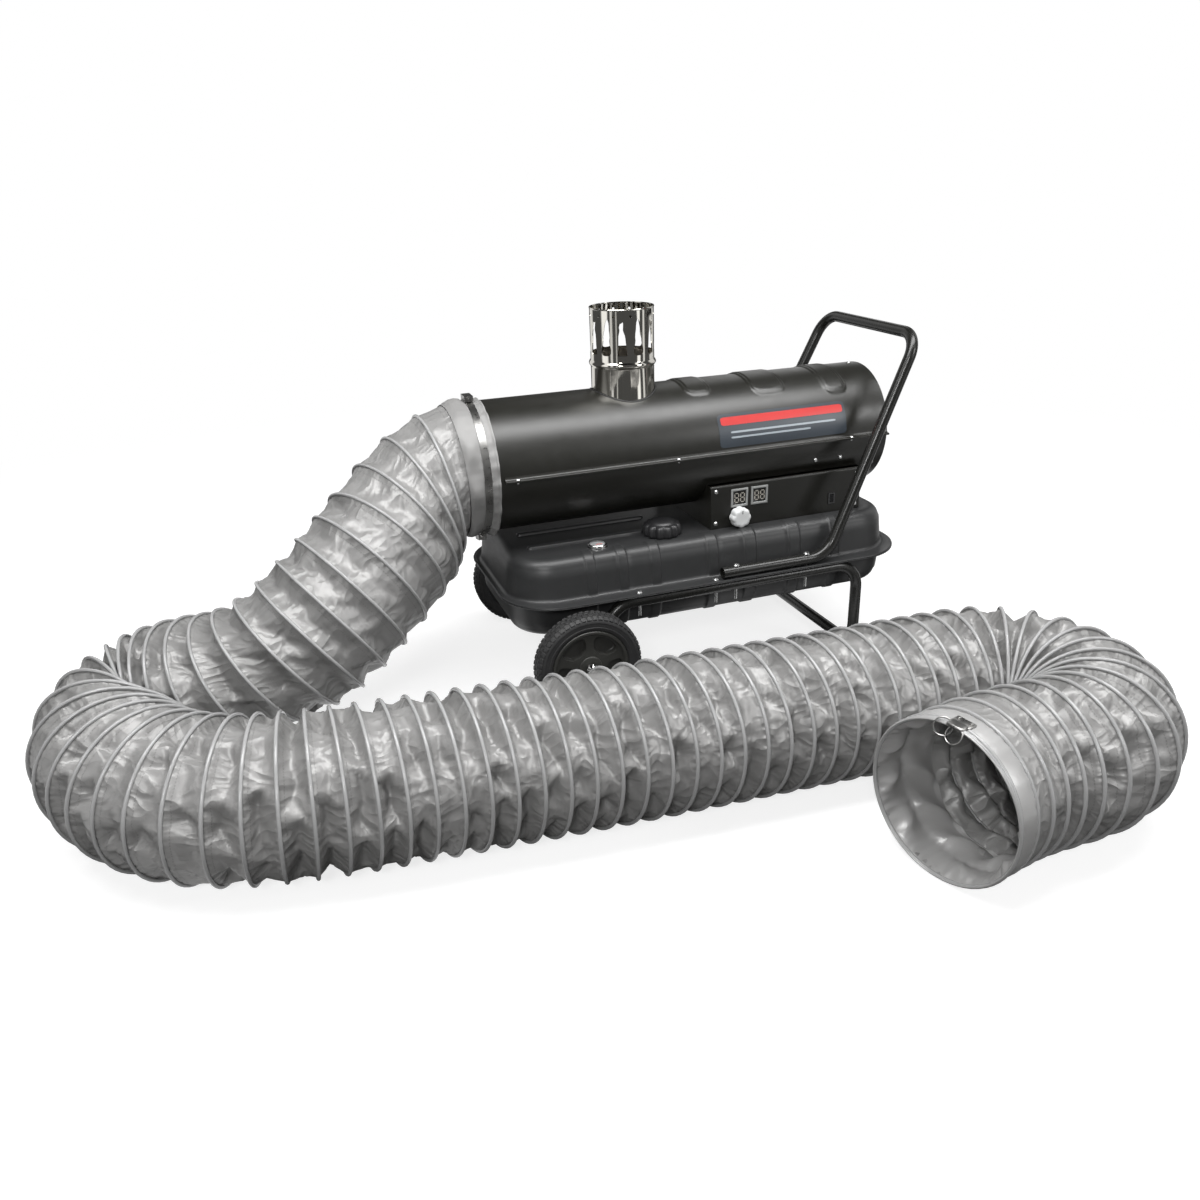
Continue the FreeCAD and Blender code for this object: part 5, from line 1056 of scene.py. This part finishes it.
# barrel top: half cylinder with pressed saddles, seam lips and the flue's hole
barrelShape = {
    "front": -0.437, "rear": 0.403, "radius": 0.121, "axis": 0.427, "wall": 0.0015, "seamStart": -0.384,
    "rise": 0.003, "corner": 0.022, "flueAt": -0.112, "flueHole": 0.063,
    "saddles": [(-0.007, 0.048, 32.0), (0.127, 0.201, 39.0), (0.278, 0.330, 47.0)],
    "lip": [(-0.0020, 0.0084), (0.0001, 0.0078), (0.0007, 0.0052), (0.0018, 0.0034), (0.0034, 0.0024),
            (0.0054, 0.0020), (0.0078, 0.0020), (0.0087, 0.0018), (0.0092, 0.0012), (0.0092, 0.0006),
            (0.0087, 0.0001), (-0.0020, 0.0001)],
}


def barrelStations():
    spots = set(np.round(np.linspace(barrelShape["front"], barrelShape["rear"], 60), 5))
    for low, high, _ in barrelShape["saddles"]:
        for edge, way in ((low, 1), (high, -1)):
            for step in np.arange(-0.004, 0.013, 0.0016):
                spots.add(round(edge + way * step, 5))
    kept = []
    for s in sorted(spots):
        if barrelShape["front"] <= s <= barrelShape["rear"] and (not kept or s - kept[-1] > 0.0008):
            kept.append(s)
    kept[-1] = barrelShape["rear"]
    return np.array(kept)


# how far a point on the unrolled barrel lies inside a saddle's rounded edge
def saddleDepth(x, arc, saddle):
    low, high, angle = saddle
    halfX, halfArc = (high - low) / 2, math.radians(angle) * barrelShape["radius"]
    corner = barrelShape["corner"]
    dx = np.abs(x - (low + high) / 2) - (halfX - corner)
    da = np.abs(arc) - (halfArc - corner)
    outside = np.hypot(np.maximum(dx, 0), np.maximum(da, 0)) + np.minimum(np.maximum(dx, da), 0)
    return corner - outside


def makeBarrelTop():
    along = barrelStations()
    turns = np.linspace(-90, 90, 145)
    deselect()
    bpy.ops.mesh.primitive_grid_add(x_subdivisions=len(along) - 1, y_subdivisions=len(turns) - 1, size=1)
    shell = bpy.context.object
    spots = np.array([v.co[:] for v in shell.data.vertices])
    column = np.rint((spots[:, 0] + 0.5) * (len(along) - 1)).astype(int)
    line = np.rint((spots[:, 1] + 0.5) * (len(turns) - 1)).astype(int)
    x, turn = along[column], np.radians(turns[line])
    arc = turn * barrelShape["radius"]
    press = np.zeros(len(x))
    for saddle in barrelShape["saddles"]:
        depth = saddleDepth(x, arc, saddle)
        steps = 0.55 * ease((depth + 0.001) / 0.0036) + 0.45 * ease((depth - 0.0055) / 0.0036)
        press = np.maximum(press, steps)
    radius = barrelShape["radius"] + barrelShape["rise"] * press
    places = np.stack([x, -radius * np.sin(turn), barrelShape["axis"] + radius * np.cos(turn)], -1)
    shell.data.vertices.foreach_set("co", places.ravel())
    settle(shell, "barrelTop")
    faceOut(shell)
    probe = shell.data.polygons[len(shell.data.polygons) // 2]
    if (probe.center - Vector((probe.center.x, 0, barrelShape["axis"]))).dot(probe.normal) < 0:
        shell.data.flip_normals()
    applied(shell, "SOLIDIFY", thickness=barrelShape["wall"], offset=-1.0)
    hole = barrelShape["flueHole"]
    carve(shell, turned("flueHole", [(0.0, 0.0), (hole, 0.0), (hole, 0.3), (0.0, 0.3)],
                        (barrelShape["flueAt"], 0, barrelShape["axis"]), "z", 96))
    lips = []
    for side in (-1, 1):
        rings = []
        for x in (barrelShape["seamStart"], barrelShape["rear"]):
            rings.append([(x, side * (barrelShape["radius"] + out), barrelShape["axis"] + up)
                          for out, up in barrelShape["lip"]])
        lips.append(skinRings("lip", rings, True, True))
    return smooth(joined("barrelTop", [shell] + lips), 32)


barrelTop = makeBarrelTop()
fitted(barrelTop, finishes["black_coat"], "black_coat", "upper_shell")
print("barrel pressed")


# flue: beaded tube with wavy flame slots and small vents; a flame gives shares of height and half widths
flueShape = {
    "x": -0.112, "foot": 0.534, "top": 0.697, "radius": 0.060, "wall": 0.0012, "bead": 0.596, "slots": 12,
    "low": 0.6145, "high": 0.6805, "vent": 0.6845, "ventRadius": 0.0025, "cut": (0.045, 0.080),
    "firstTurn": 0.1676,
    "flames": (
        [(0.00, 0.0040), (0.02, 0.0074), (0.07, 0.0097), (0.15, 0.0101), (0.23, 0.0092), (0.32, 0.0072),
         (0.41, 0.0064), (0.51, 0.0069), (0.61, 0.0062), (0.70, 0.0050), (0.80, 0.0045), (0.90, 0.0034),
         (1.0, 0.0004)],
        [(0.00, 0.0080), (0.02, 0.0089), (0.09, 0.0087), (0.17, 0.0078), (0.26, 0.0071), (0.36, 0.0067),
         (0.46, 0.0064), (0.56, 0.0057), (0.64, 0.0040), (0.71, 0.0030), (0.79, 0.0038), (0.86, 0.0044),
         (0.92, 0.0043), (0.88, 0.0006)]),
    "beadHalf": [(-0.0068, 0.0), (-0.0058, 0.0004), (-0.0036, 0.0020), (-0.0014, 0.0031)],
    "beadRise": 0.0033,
    "seal": [(0.0634, -0.0006), (0.0636, 0.0006), (0.0630, 0.0012), (0.0614, 0.0013), (0.0605, 0.0008),
             (0.0604, -0.002), (0.0620, -0.002)],
}


def flameCutter(turn, kind):
    lean = 0.0034 * math.sin(2.0 * turn + 2.2 * kind)
    curve = flueShape["flames"][kind]
    flat = [(w + lean * s * s, s) for s, w in curve]
    flat += [(-w + lean * s * s, s) for s, w in curve[::-1]]
    tall = flueShape["high"] - flueShape["low"]
    rings = []
    for reach in flueShape["cut"]:
        rings.append([(flueShape["x"] + reach * math.cos(turn) - w * math.sin(turn),
                       reach * math.sin(turn) + w * math.cos(turn),
                       flueShape["low"] + tall * s) for w, s in flat])
    return skinRings("slot", rings, startCap=True, endCap=True)


def ventCutter(turn):
    radius = flueShape["ventRadius"]
    near, far = flueShape["cut"]
    vent = turned("vent", [(0.0, near), (radius, near), (radius, far), (0.0, far)], (0, 0, 0), "x", 16)
    place = Matrix.Translation((flueShape["x"], 0, flueShape["vent"]))
    vent.data.transform(place @ Matrix.Rotation(turn, 4, "Z"))
    return vent


def makeFlue():
    out, wall, foot = flueShape["radius"], flueShape["wall"], flueShape["foot"]
    bead, top = flueShape["bead"] - foot, flueShape["top"] - foot
    inner = out - wall
    swell = flueShape["beadHalf"] + [(0.0, flueShape["beadRise"])]
    swell += [(-step, rise) for step, rise in flueShape["beadHalf"][::-1]]
    profile = [(out, 0.0)] + [(out + rise, bead + step) for step, rise in swell]
    profile += [(out, bead + 0.02), (out, top - 0.0025), (out + 0.0006, top - 0.0018),
                (out + 0.0008, top - 0.0008), (out + 0.0003, top), (inner - 0.0004, top),
                (inner - 0.0006, top - 0.0012), (inner, top - 0.0025), (inner, 0.0)]
    tube = turned("flue", profile, (flueShape["x"], 0, foot), "z", 180, loop=True)
    cutters = []
    for number in range(flueShape["slots"]):
        turn = 2 * math.pi * number / flueShape["slots"] + flueShape["firstTurn"]
        cutters.append(flameCutter(turn, (number + 1) % 2))
        cutters.append(ventCutter(turn + math.pi / flueShape["slots"]))
    carve(tube, joined("flameSlots", cutters))
    return smooth(tube, 30)


flue = makeFlue()
fitted(flue, finishes["stainless"], "stainless", "flue")


# rubber seal where the flue leaves the barrel
def makeFlueSeal():
    turn = turnsOf(96)
    rings = []
    for radius, lift in flueShape["seal"]:
        y = radius * np.sin(turn)
        level = barrelShape["axis"] + np.sqrt(barrelShape["radius"] ** 2 - y ** 2) + lift
        rings.append(np.stack([flueShape["x"] + radius * np.cos(turn), y, level], -1))
    return smooth(skinRings("flueSeal", rings), 60)


fitted(makeFlueSeal(), finishes["liner_rubber"], "liner_rubber")
print("flue cut")


# control box panel: plate with a rolled top fold
panelShape = {"front": 0.015, "rear": 0.347, "face": -0.125, "low": 0.2802, "top": 0.366, "wall": 0.0015,
              "fold": 0.005, "flap": 0.0170}


def makePanel():
    face, top, fold, wall = (panelShape[key] for key in ("face", "top", "fold", "wall"))
    outside = [(face, panelShape["low"]), (face, top - fold - 0.004)]
    inside = []
    for a in np.linspace(0, 90, 9):
        turn = math.radians(a)
        for line, bend in ((outside, fold), (inside, fold - wall)):
            line.append((face + fold - bend * math.cos(turn), top - fold + bend * math.sin(turn)))
    outside.append((face + panelShape["flap"], top))
    inside.append((face + panelShape["flap"], top - wall))
    flat = outside + inside[::-1] + [(face + wall, panelShape["low"])]
    rings = [[(x, y, z) for y, z in flat] for x in (panelShape["front"], panelShape["rear"])]
    return eased(smooth(skinRings("sidePanel", rings, True, True), 30), 0.0005, 2, 50)


sidePanel = smooth(makePanel(), 32)
# a darker copy of the barrel's black coat: painted shade on the side panel
paintedShadePanelBlack = powderCoat("panelBlackPaintedShade", (0.0080, 0.0078, 0.0062), 0.40, peel=0.10, specular=0.42)
fitted(sidePanel, paintedShadePanelBlack, "black_coat", "side_panel")

# displays: clear bezel, dark window, unlit figures
displayShape = {
    "low": 0.320, "side": 0.036, "face": -0.127, "border": 0.0040, "sunk": 0.0014, "bar": 0.0019,
    "spots": {"temperature_display": 0.058, "timer_display": 0.101},
}
windowFinish = moulded("displayWindow", (0.018, 0.018, 0.017), 0.12, 900.0, 0.02)
figureFinish = moulded("displayFigure", (0.36, 0.34, 0.30), 0.35, 900.0, 0.04)


def makeBezel(name, left):
    low, side, face = displayShape["low"], displayShape["side"], displayShape["face"]
    bezel = blockAt(name, (left, face, low), (left + side, face + 0.010, low + side))
    pickIn(bezel, "FACE", lambda patch: patch.normal.y < -0.9)
    bpy.ops.mesh.inset(thickness=displayShape["border"])
    bpy.ops.mesh.extrude_region_move(TRANSFORM_OT_translate={"value": (0, displayShape["sunk"], 0)})
    bpy.ops.object.mode_set(mode="OBJECT")
    eased(bezel, 0.0008, 3, 50)
    return smooth(bezel, 35)


def segmentAt(x, z, long, upright):
    wide, face = displayShape["bar"], displayShape["face"]
    across, tall = (wide, long) if upright else (long, wide)
    bar = blockAt("bar", (x - across / 2, face + 0.0007, z - tall / 2),
                  (x + across / 2, face + 0.0010, z + tall / 2))
    pickIn(bar, "EDGE", lambda edge: abs((edge.verts[0].co - edge.verts[1].co).y) > 0.0002)
    bpy.ops.mesh.bevel(offset=wide * 0.46, segments=1, affect="EDGES")
    bpy.ops.object.mode_set(mode="OBJECT")
    return bar


def makeFigures(name, left):
    bars = []
    middle = displayShape["low"] + displayShape["side"] / 2
    for shift in (-0.0062, 0.0062):
        x = left + displayShape["side"] / 2 + shift
        for level in (-0.0088, 0.0, 0.0088):
            bars.append(segmentAt(x, middle + level, 0.0062, False))
        for across in (-0.0040, 0.0040):
            for level in (-0.0044, 0.0044):
                bars.append(segmentAt(x + across, middle + level, 0.0070, True))
    return joined(name, bars)


for nodeName, left in displayShape["spots"].items():
    bezel = makeBezel(nodeName + "Bezel", left)
    fitted(bezel, finishes["display_clear"], "display_clear", nodeName)
    bezel.data.materials.append(windowFinish)
    for patch in bezel.data.polygons:
        if patch.normal.y < -0.9 and patch.center.y > displayShape["face"] + 0.001:
            patch.material_index = 1
    fitted(makeFigures(nodeName + "Figures", left), figureFinish, "display_clear")
print("panel and displays made")

# knob with eight soft lobes and a dished face
knobShape = {"centre": (0.074, -0.127, 0.3012), "radius": 0.0204, "deep": 0.018, "lobes": 8, "dip": 0.0017}


def makeLobed(name, shape, profile, axis, count, angle):
    rings = turnedRings(profile, shape["centre"], axis, count, shape["lobes"], shape["dip"])
    return smooth(skinRings(name, rings, True, True), angle)


def makeKnob():
    r, deep = knobShape["radius"], knobShape["deep"]
    profile = [(0.010, 0.0, 0.0), (r - 0.0012, 0.0, 0.8), (r, 0.0010, 1.0), (r - 0.0004, deep - 0.0052, 1.0),
               (r - 0.0008, deep - 0.0034, 1.0), (r - 0.0020, deep - 0.0016, 0.95),
               (r - 0.0036, deep - 0.0006, 0.85), (r - 0.0056, deep - 0.0001, 0.7), (r - 0.0080, deep, 0.4),
               (0.0085, deep - 0.0001, 0.1), (0.005, deep - 0.0002, 0.0), (0.0004, deep - 0.0002, 0.0)]
    return makeLobed("knobCap", knobShape, profile, "-y", 160, 40)


fitted(makeKnob(), finishes["knob_grey"], "knob_grey", "knob", body="knob")
knobMark = blockAt("knobMark", (0.0734, -0.1454, 0.3100), (0.0746, -0.1446, 0.3172), 0.0002)
fitted(knobMark, finishes["switch_black"], "switch_black", body="knob")

# filler cap: twelve lobes and a low dome
capShape = {"centre": (-0.078, -0.104, 0.2812), "radius": 0.038, "tall": 0.029, "lobes": 12, "dip": 0.0046}


def makeCap():
    r, tall = capShape["radius"], capShape["tall"]
    profile = [(0.0285, 0.0, 0.0), (r - 0.0022, 0.0, 0.8), (r - 0.0006, 0.0012, 1.0), (r, 0.0040, 1.0),
               (r - 0.0008, 0.0170, 1.0), (r - 0.0024, 0.0198, 1.0), (r - 0.0052, 0.0216, 0.8),
               (r - 0.0085, 0.0224, 0.4), (r - 0.0110, 0.0226, 0.1), (r - 0.0125, 0.0232, 0.0),
               (r - 0.0140, 0.0248, 0.0), (r - 0.0170, 0.0268, 0.0), (r - 0.0220, 0.0282, 0.0),
               (r - 0.0290, tall - 0.0003, 0.0), (0.0010, tall, 0.0)]
    return makeLobed("fillerCap", capShape, profile, "z", 192, 45)


fitted(makeCap(), finishes["black_plastic"], "black_plastic", "cap_shell", body="cap_shell")

# fuel gauge: chrome bezel, dial, domed lens
gaugeShape = {
    "at": (-0.215, -0.118, 0.2802),
    "tickStep": 0.3927, "tickWide": 0.07, "tickFrom": 0.0105, "tickTo": 0.0132,
    "bezel": [(0.0156, 0.0028), (0.0156, 0.0052), (0.0160, 0.0058), (0.0167, 0.0059), (0.0174, 0.0054),
              (0.0178, 0.0044), (0.0180, 0.0012), (0.0190, 0.0006), (0.0192, 0.0), (0.0176, 0.0),
              (0.0176, 0.0028)],
    "lens": [(0.0155, 0.0040), (0.0155, 0.0054), (0.0140, 0.0063), (0.0112, 0.0071), (0.0075, 0.0077),
             (0.0035, 0.0080), (0.0004, 0.0081)],
    "dial": [(0.0150, 0.0030), (0.0150, 0.0032), (0.0060, 0.0032), (0.0004, 0.0032)],
}
bezelRing = turned("gaugeBezel", gaugeShape["bezel"], gaugeShape["at"], "z", 64, loop=True)
fitted(smooth(bezelRing, 40), finishes["cap_chrome"], "cap_chrome")
lens = turned("gaugeDome", gaugeShape["lens"], gaugeShape["at"], "z", 48)
fitted(smooth(lens, 60), finishes["gauge_glass"], "gauge_glass", "gauge_lens")


# dark dial with plain pale ticks round its edge
def dialFinish():
    mat, at, shader, place = newFinish("gaugeDial")
    middle = (-gaugeShape["at"][0], -gaugeShape["at"][1], 0.0)
    place = at.node("Mapping", None, {"Vector": place, "Location": middle})
    x, y, _ = axesOf(at, place)
    turn = x.maths("ARCTAN2", y, x)
    reach = x.maths("SQRT", x * x + y * y)
    tick = (turn % gaugeShape["tickStep"]) < gaugeShape["tickWide"]
    tick = tick * (reach > gaugeShape["tickFrom"]) * (reach < gaugeShape["tickTo"])
    cloud = noiseAt(at, place, 120.0)
    field = tint(at, cloud, (0.10, 0.10, 0.10, 1), (0.13, 0.13, 0.13, 1))
    paint = tint(at, tick * 0.85, field, (0.62, 0.62, 0.60, 1))
    return feed(mat, shader, colour=paint, rough=0.4 + cloud * 0.1)


dial = turned("gaugeDial", gaugeShape["dial"], gaugeShape["at"], "z", 48)
fitted(dial, dialFinish(), "gauge_glass")
print("knob, cap and gauge made")

# wheels: tyre with tread blocks, hub with five pockets; tread rows give place, level, tip and shift
wheelShape = {
    "x": -0.281, "z": 0.1005, "mid": 0.2345, "half": 0.0205, "blocks": 56, "pockets": 5, "firstPocket": 0.63,
    "web": 0.0045,
    "tyre": [(0.0722, 0.0165), (0.0735, 0.0188), (0.0765, 0.0202), (0.0800, 0.0205), (0.0806, 0.0199),
             (0.0880, 0.0199), (0.0886, 0.0204), (0.0920, 0.0198), (0.0950, 0.0178), (0.0972, 0.0145),
             (0.0984, 0.0100), (0.0988, 0.0040)],
    "tread": [(-0.0150, 0.0951, -34.0, 0.0), (-0.0048, 0.0970, -4.0, 0.5), (0.0048, 0.0970, 4.0, 0.0),
              (0.0150, 0.0951, 34.0, 0.5)],
    "pocketSide": [(0.0585, 25.0), (0.0520, 27.0), (0.0440, 26.5), (0.0370, 24.0), (0.0338, 15.0),
                   (0.0300, 3.0)],
    "outerFace": [(0.0085, 0.002), (0.0200, 0.002), (0.0210, 0.0026), (0.0216, 0.0045), (0.0640, 0.0045),
                  (0.0652, 0.0040), (0.0660, 0.0012), (0.0672, 0.0002), (0.0712, 0.0002), (0.0721, 0.0014)],
    "innerFace": [(0.0721, 0.0014), (0.0712, 0.0002), (0.0672, 0.0002), (0.0660, 0.0012), (0.0650, 0.014),
                  (0.0218, 0.014), (0.0210, 0.0030), (0.0200, 0.002), (0.0085, 0.002)],
}


def makeTyre(name, middle):
    profile = [(r, -h) for r, h in wheelShape["tyre"]] + wheelShape["tyre"][::-1]
    body = turned(name, profile, middle, "y", 112, loop=True)
    block = blockAt("treadBlock", (-0.0040, -0.0042, 0.0), (0.0040, 0.0042, 0.0030), 0.0006, 1)
    blocks = []
    turnStep = 2 * math.pi / wheelShape["blocks"]
    for across, level, tip, shift in wheelShape["tread"]:
        spot = Matrix.Translation((0, across, level)) @ Matrix.Rotation(math.radians(-tip), 4, "X")
        for number in range(wheelShape["blocks"]):
            spin = Matrix.Rotation((number + shift) * turnStep, 4, "Y")
            blocks.append(copied(block, Matrix.Translation(middle) @ spin @ spot))
    bpy.data.objects.remove(block)
    return smooth(joined(name, [body] + blocks), 30)


# rounded sector between the hub and the rim band
def pocketCutter(turn, middle, side):
    flat = [(0.0615, a * 21.0) for a in np.linspace(-1, 1, 9)] + wheelShape["pocketSide"]
    flat += [(r, -a) for r, a in wheelShape["pocketSide"][::-1]]
    x, y, z = middle
    face = wheelShape["half"] - wheelShape["web"]
    rings = []
    for shrink, deep in ((0.0, -0.0050), (0.0, 0.0010), (0.05, 0.0100), (0.10, 0.0112)):
        ring = []
        for r, a in flat:
            r = r + (0.046 - r) * shrink
            a = math.radians(a) * (1 - shrink)
            ring.append((x + r * math.sin(turn + a), y + side * (face - deep), z + r * math.cos(turn + a)))
        rings.append(ring)
    return skinRings("pocket", rings, True, True)


def makeHub(name, middle, side):
    half = wheelShape["half"]
    profile = [(r, side * (half - h)) for r, h in wheelShape["outerFace"]]
    profile += [(r, side * (h - half)) for r, h in wheelShape["innerFace"]]
    hub = turned(name, profile, middle, "y", 120, loop=True)
    for number in range(wheelShape["pockets"]):
        turn = 2 * math.pi * number / wheelShape["pockets"] + wheelShape["firstPocket"]
        carve(hub, pocketCutter(turn, middle, side))
    return smooth(eased(hub, 0.0011, 3, 40), 35)


for where, side in (("near", -1), ("far", 1)):
    body = "wheel_" + where
    middle = (wheelShape["x"], wheelShape["mid"] * side, wheelShape["z"])
    tyre = makeTyre("tyre" + where.title(), middle)
    fitted(tyre, finishes["tyre_black"], "tyre_black", "tyre_" + where, body=body)
    hub = makeHub("hub" + where.title(), middle, side)
    fitted(hub, finishes["wheel_plastic"], "wheel_plastic", "rim_" + where, body=body)
print("wheels made")

# printed side badge: plain slate field with a red band and two pale lines, on the near side of the barrel
badgeShape = {
    "field": (0.036, 0.310, 0.438, 0.497), "fieldLift": 0.0002, "fieldCorner": 0.008, "lineLift": 0.0006,
    "thick": 0.0003,
    "lines": {"badgeBand": (0.042, 0.304, 0.478, 0.492), "badgeLineOne": (0.060, 0.286, 0.4635, 0.4670),
              "badgeLineTwo": (0.060, 0.230, 0.4540, 0.4575)},
}


def wrappedPatch(name, front, rear, low, high, lift, corner):
    deselect()
    bpy.ops.mesh.primitive_grid_add(x_subdivisions=48, y_subdivisions=24, size=1)
    patch = bpy.context.object
    spots = np.array([v.co[:] for v in patch.data.vertices])
    x = (front + rear) / 2 + spots[:, 0] * (rear - front)
    z = (low + high) / 2 + spots[:, 1] * (high - low)
    reach = np.hypot(np.maximum(np.abs(x - (front + rear) / 2) - (rear - front) / 2 + corner, 0),
                     np.maximum(np.abs(z - (low + high) / 2) - (high - low) / 2 + corner, 0))
    pull = np.where(reach > corner, corner / np.maximum(reach, 0.000001), 1.0)
    edgeX = np.clip(x, front + corner, rear - corner)
    edgeZ = np.clip(z, low + corner, high - corner)
    x = edgeX + (x - edgeX) * pull
    z = edgeZ + (z - edgeZ) * pull
    radius = barrelShape["radius"] + lift
    y = -np.sqrt(radius ** 2 - (z - barrelShape["axis"]) ** 2)
    patch.data.vertices.foreach_set("co", np.stack([x, y, z], -1).ravel())
    settle(patch, name)
    faceOut(patch)
    if patch.data.polygons[0].normal.y > 0:
        patch.data.flip_normals()
    applied(patch, "SOLIDIFY", thickness=badgeShape["thick"], offset=1.0)
    return smooth(patch, 30)


badge = wrappedPatch("sideBadge", *badgeShape["field"], badgeShape["fieldLift"], badgeShape["fieldCorner"])
fitted(badge, moulded("badgeSlate", (0.034, 0.042, 0.052), 0.34, 900.0, 0.04), "black_coat")
redFinish = moulded("badgeRed", (0.50, 0.030, 0.028), 0.34, 900.0, 0.04)
paleFinish = moulded("badgePale", (0.30, 0.34, 0.37), 0.34, 900.0, 0.04)
for name, (front, rear, low, high) in badgeShape["lines"].items():
    corner = min(0.004, (high - low) * 0.45)
    line = wrappedPatch(name, front, rear, low, high, badgeShape["lineLift"], corner)
    if name == "badgeBand":
        fitted(line, redFinish, "pointer_red")
    else:
        fitted(line, paleFinish, "knob_grey")
print("badge laid")
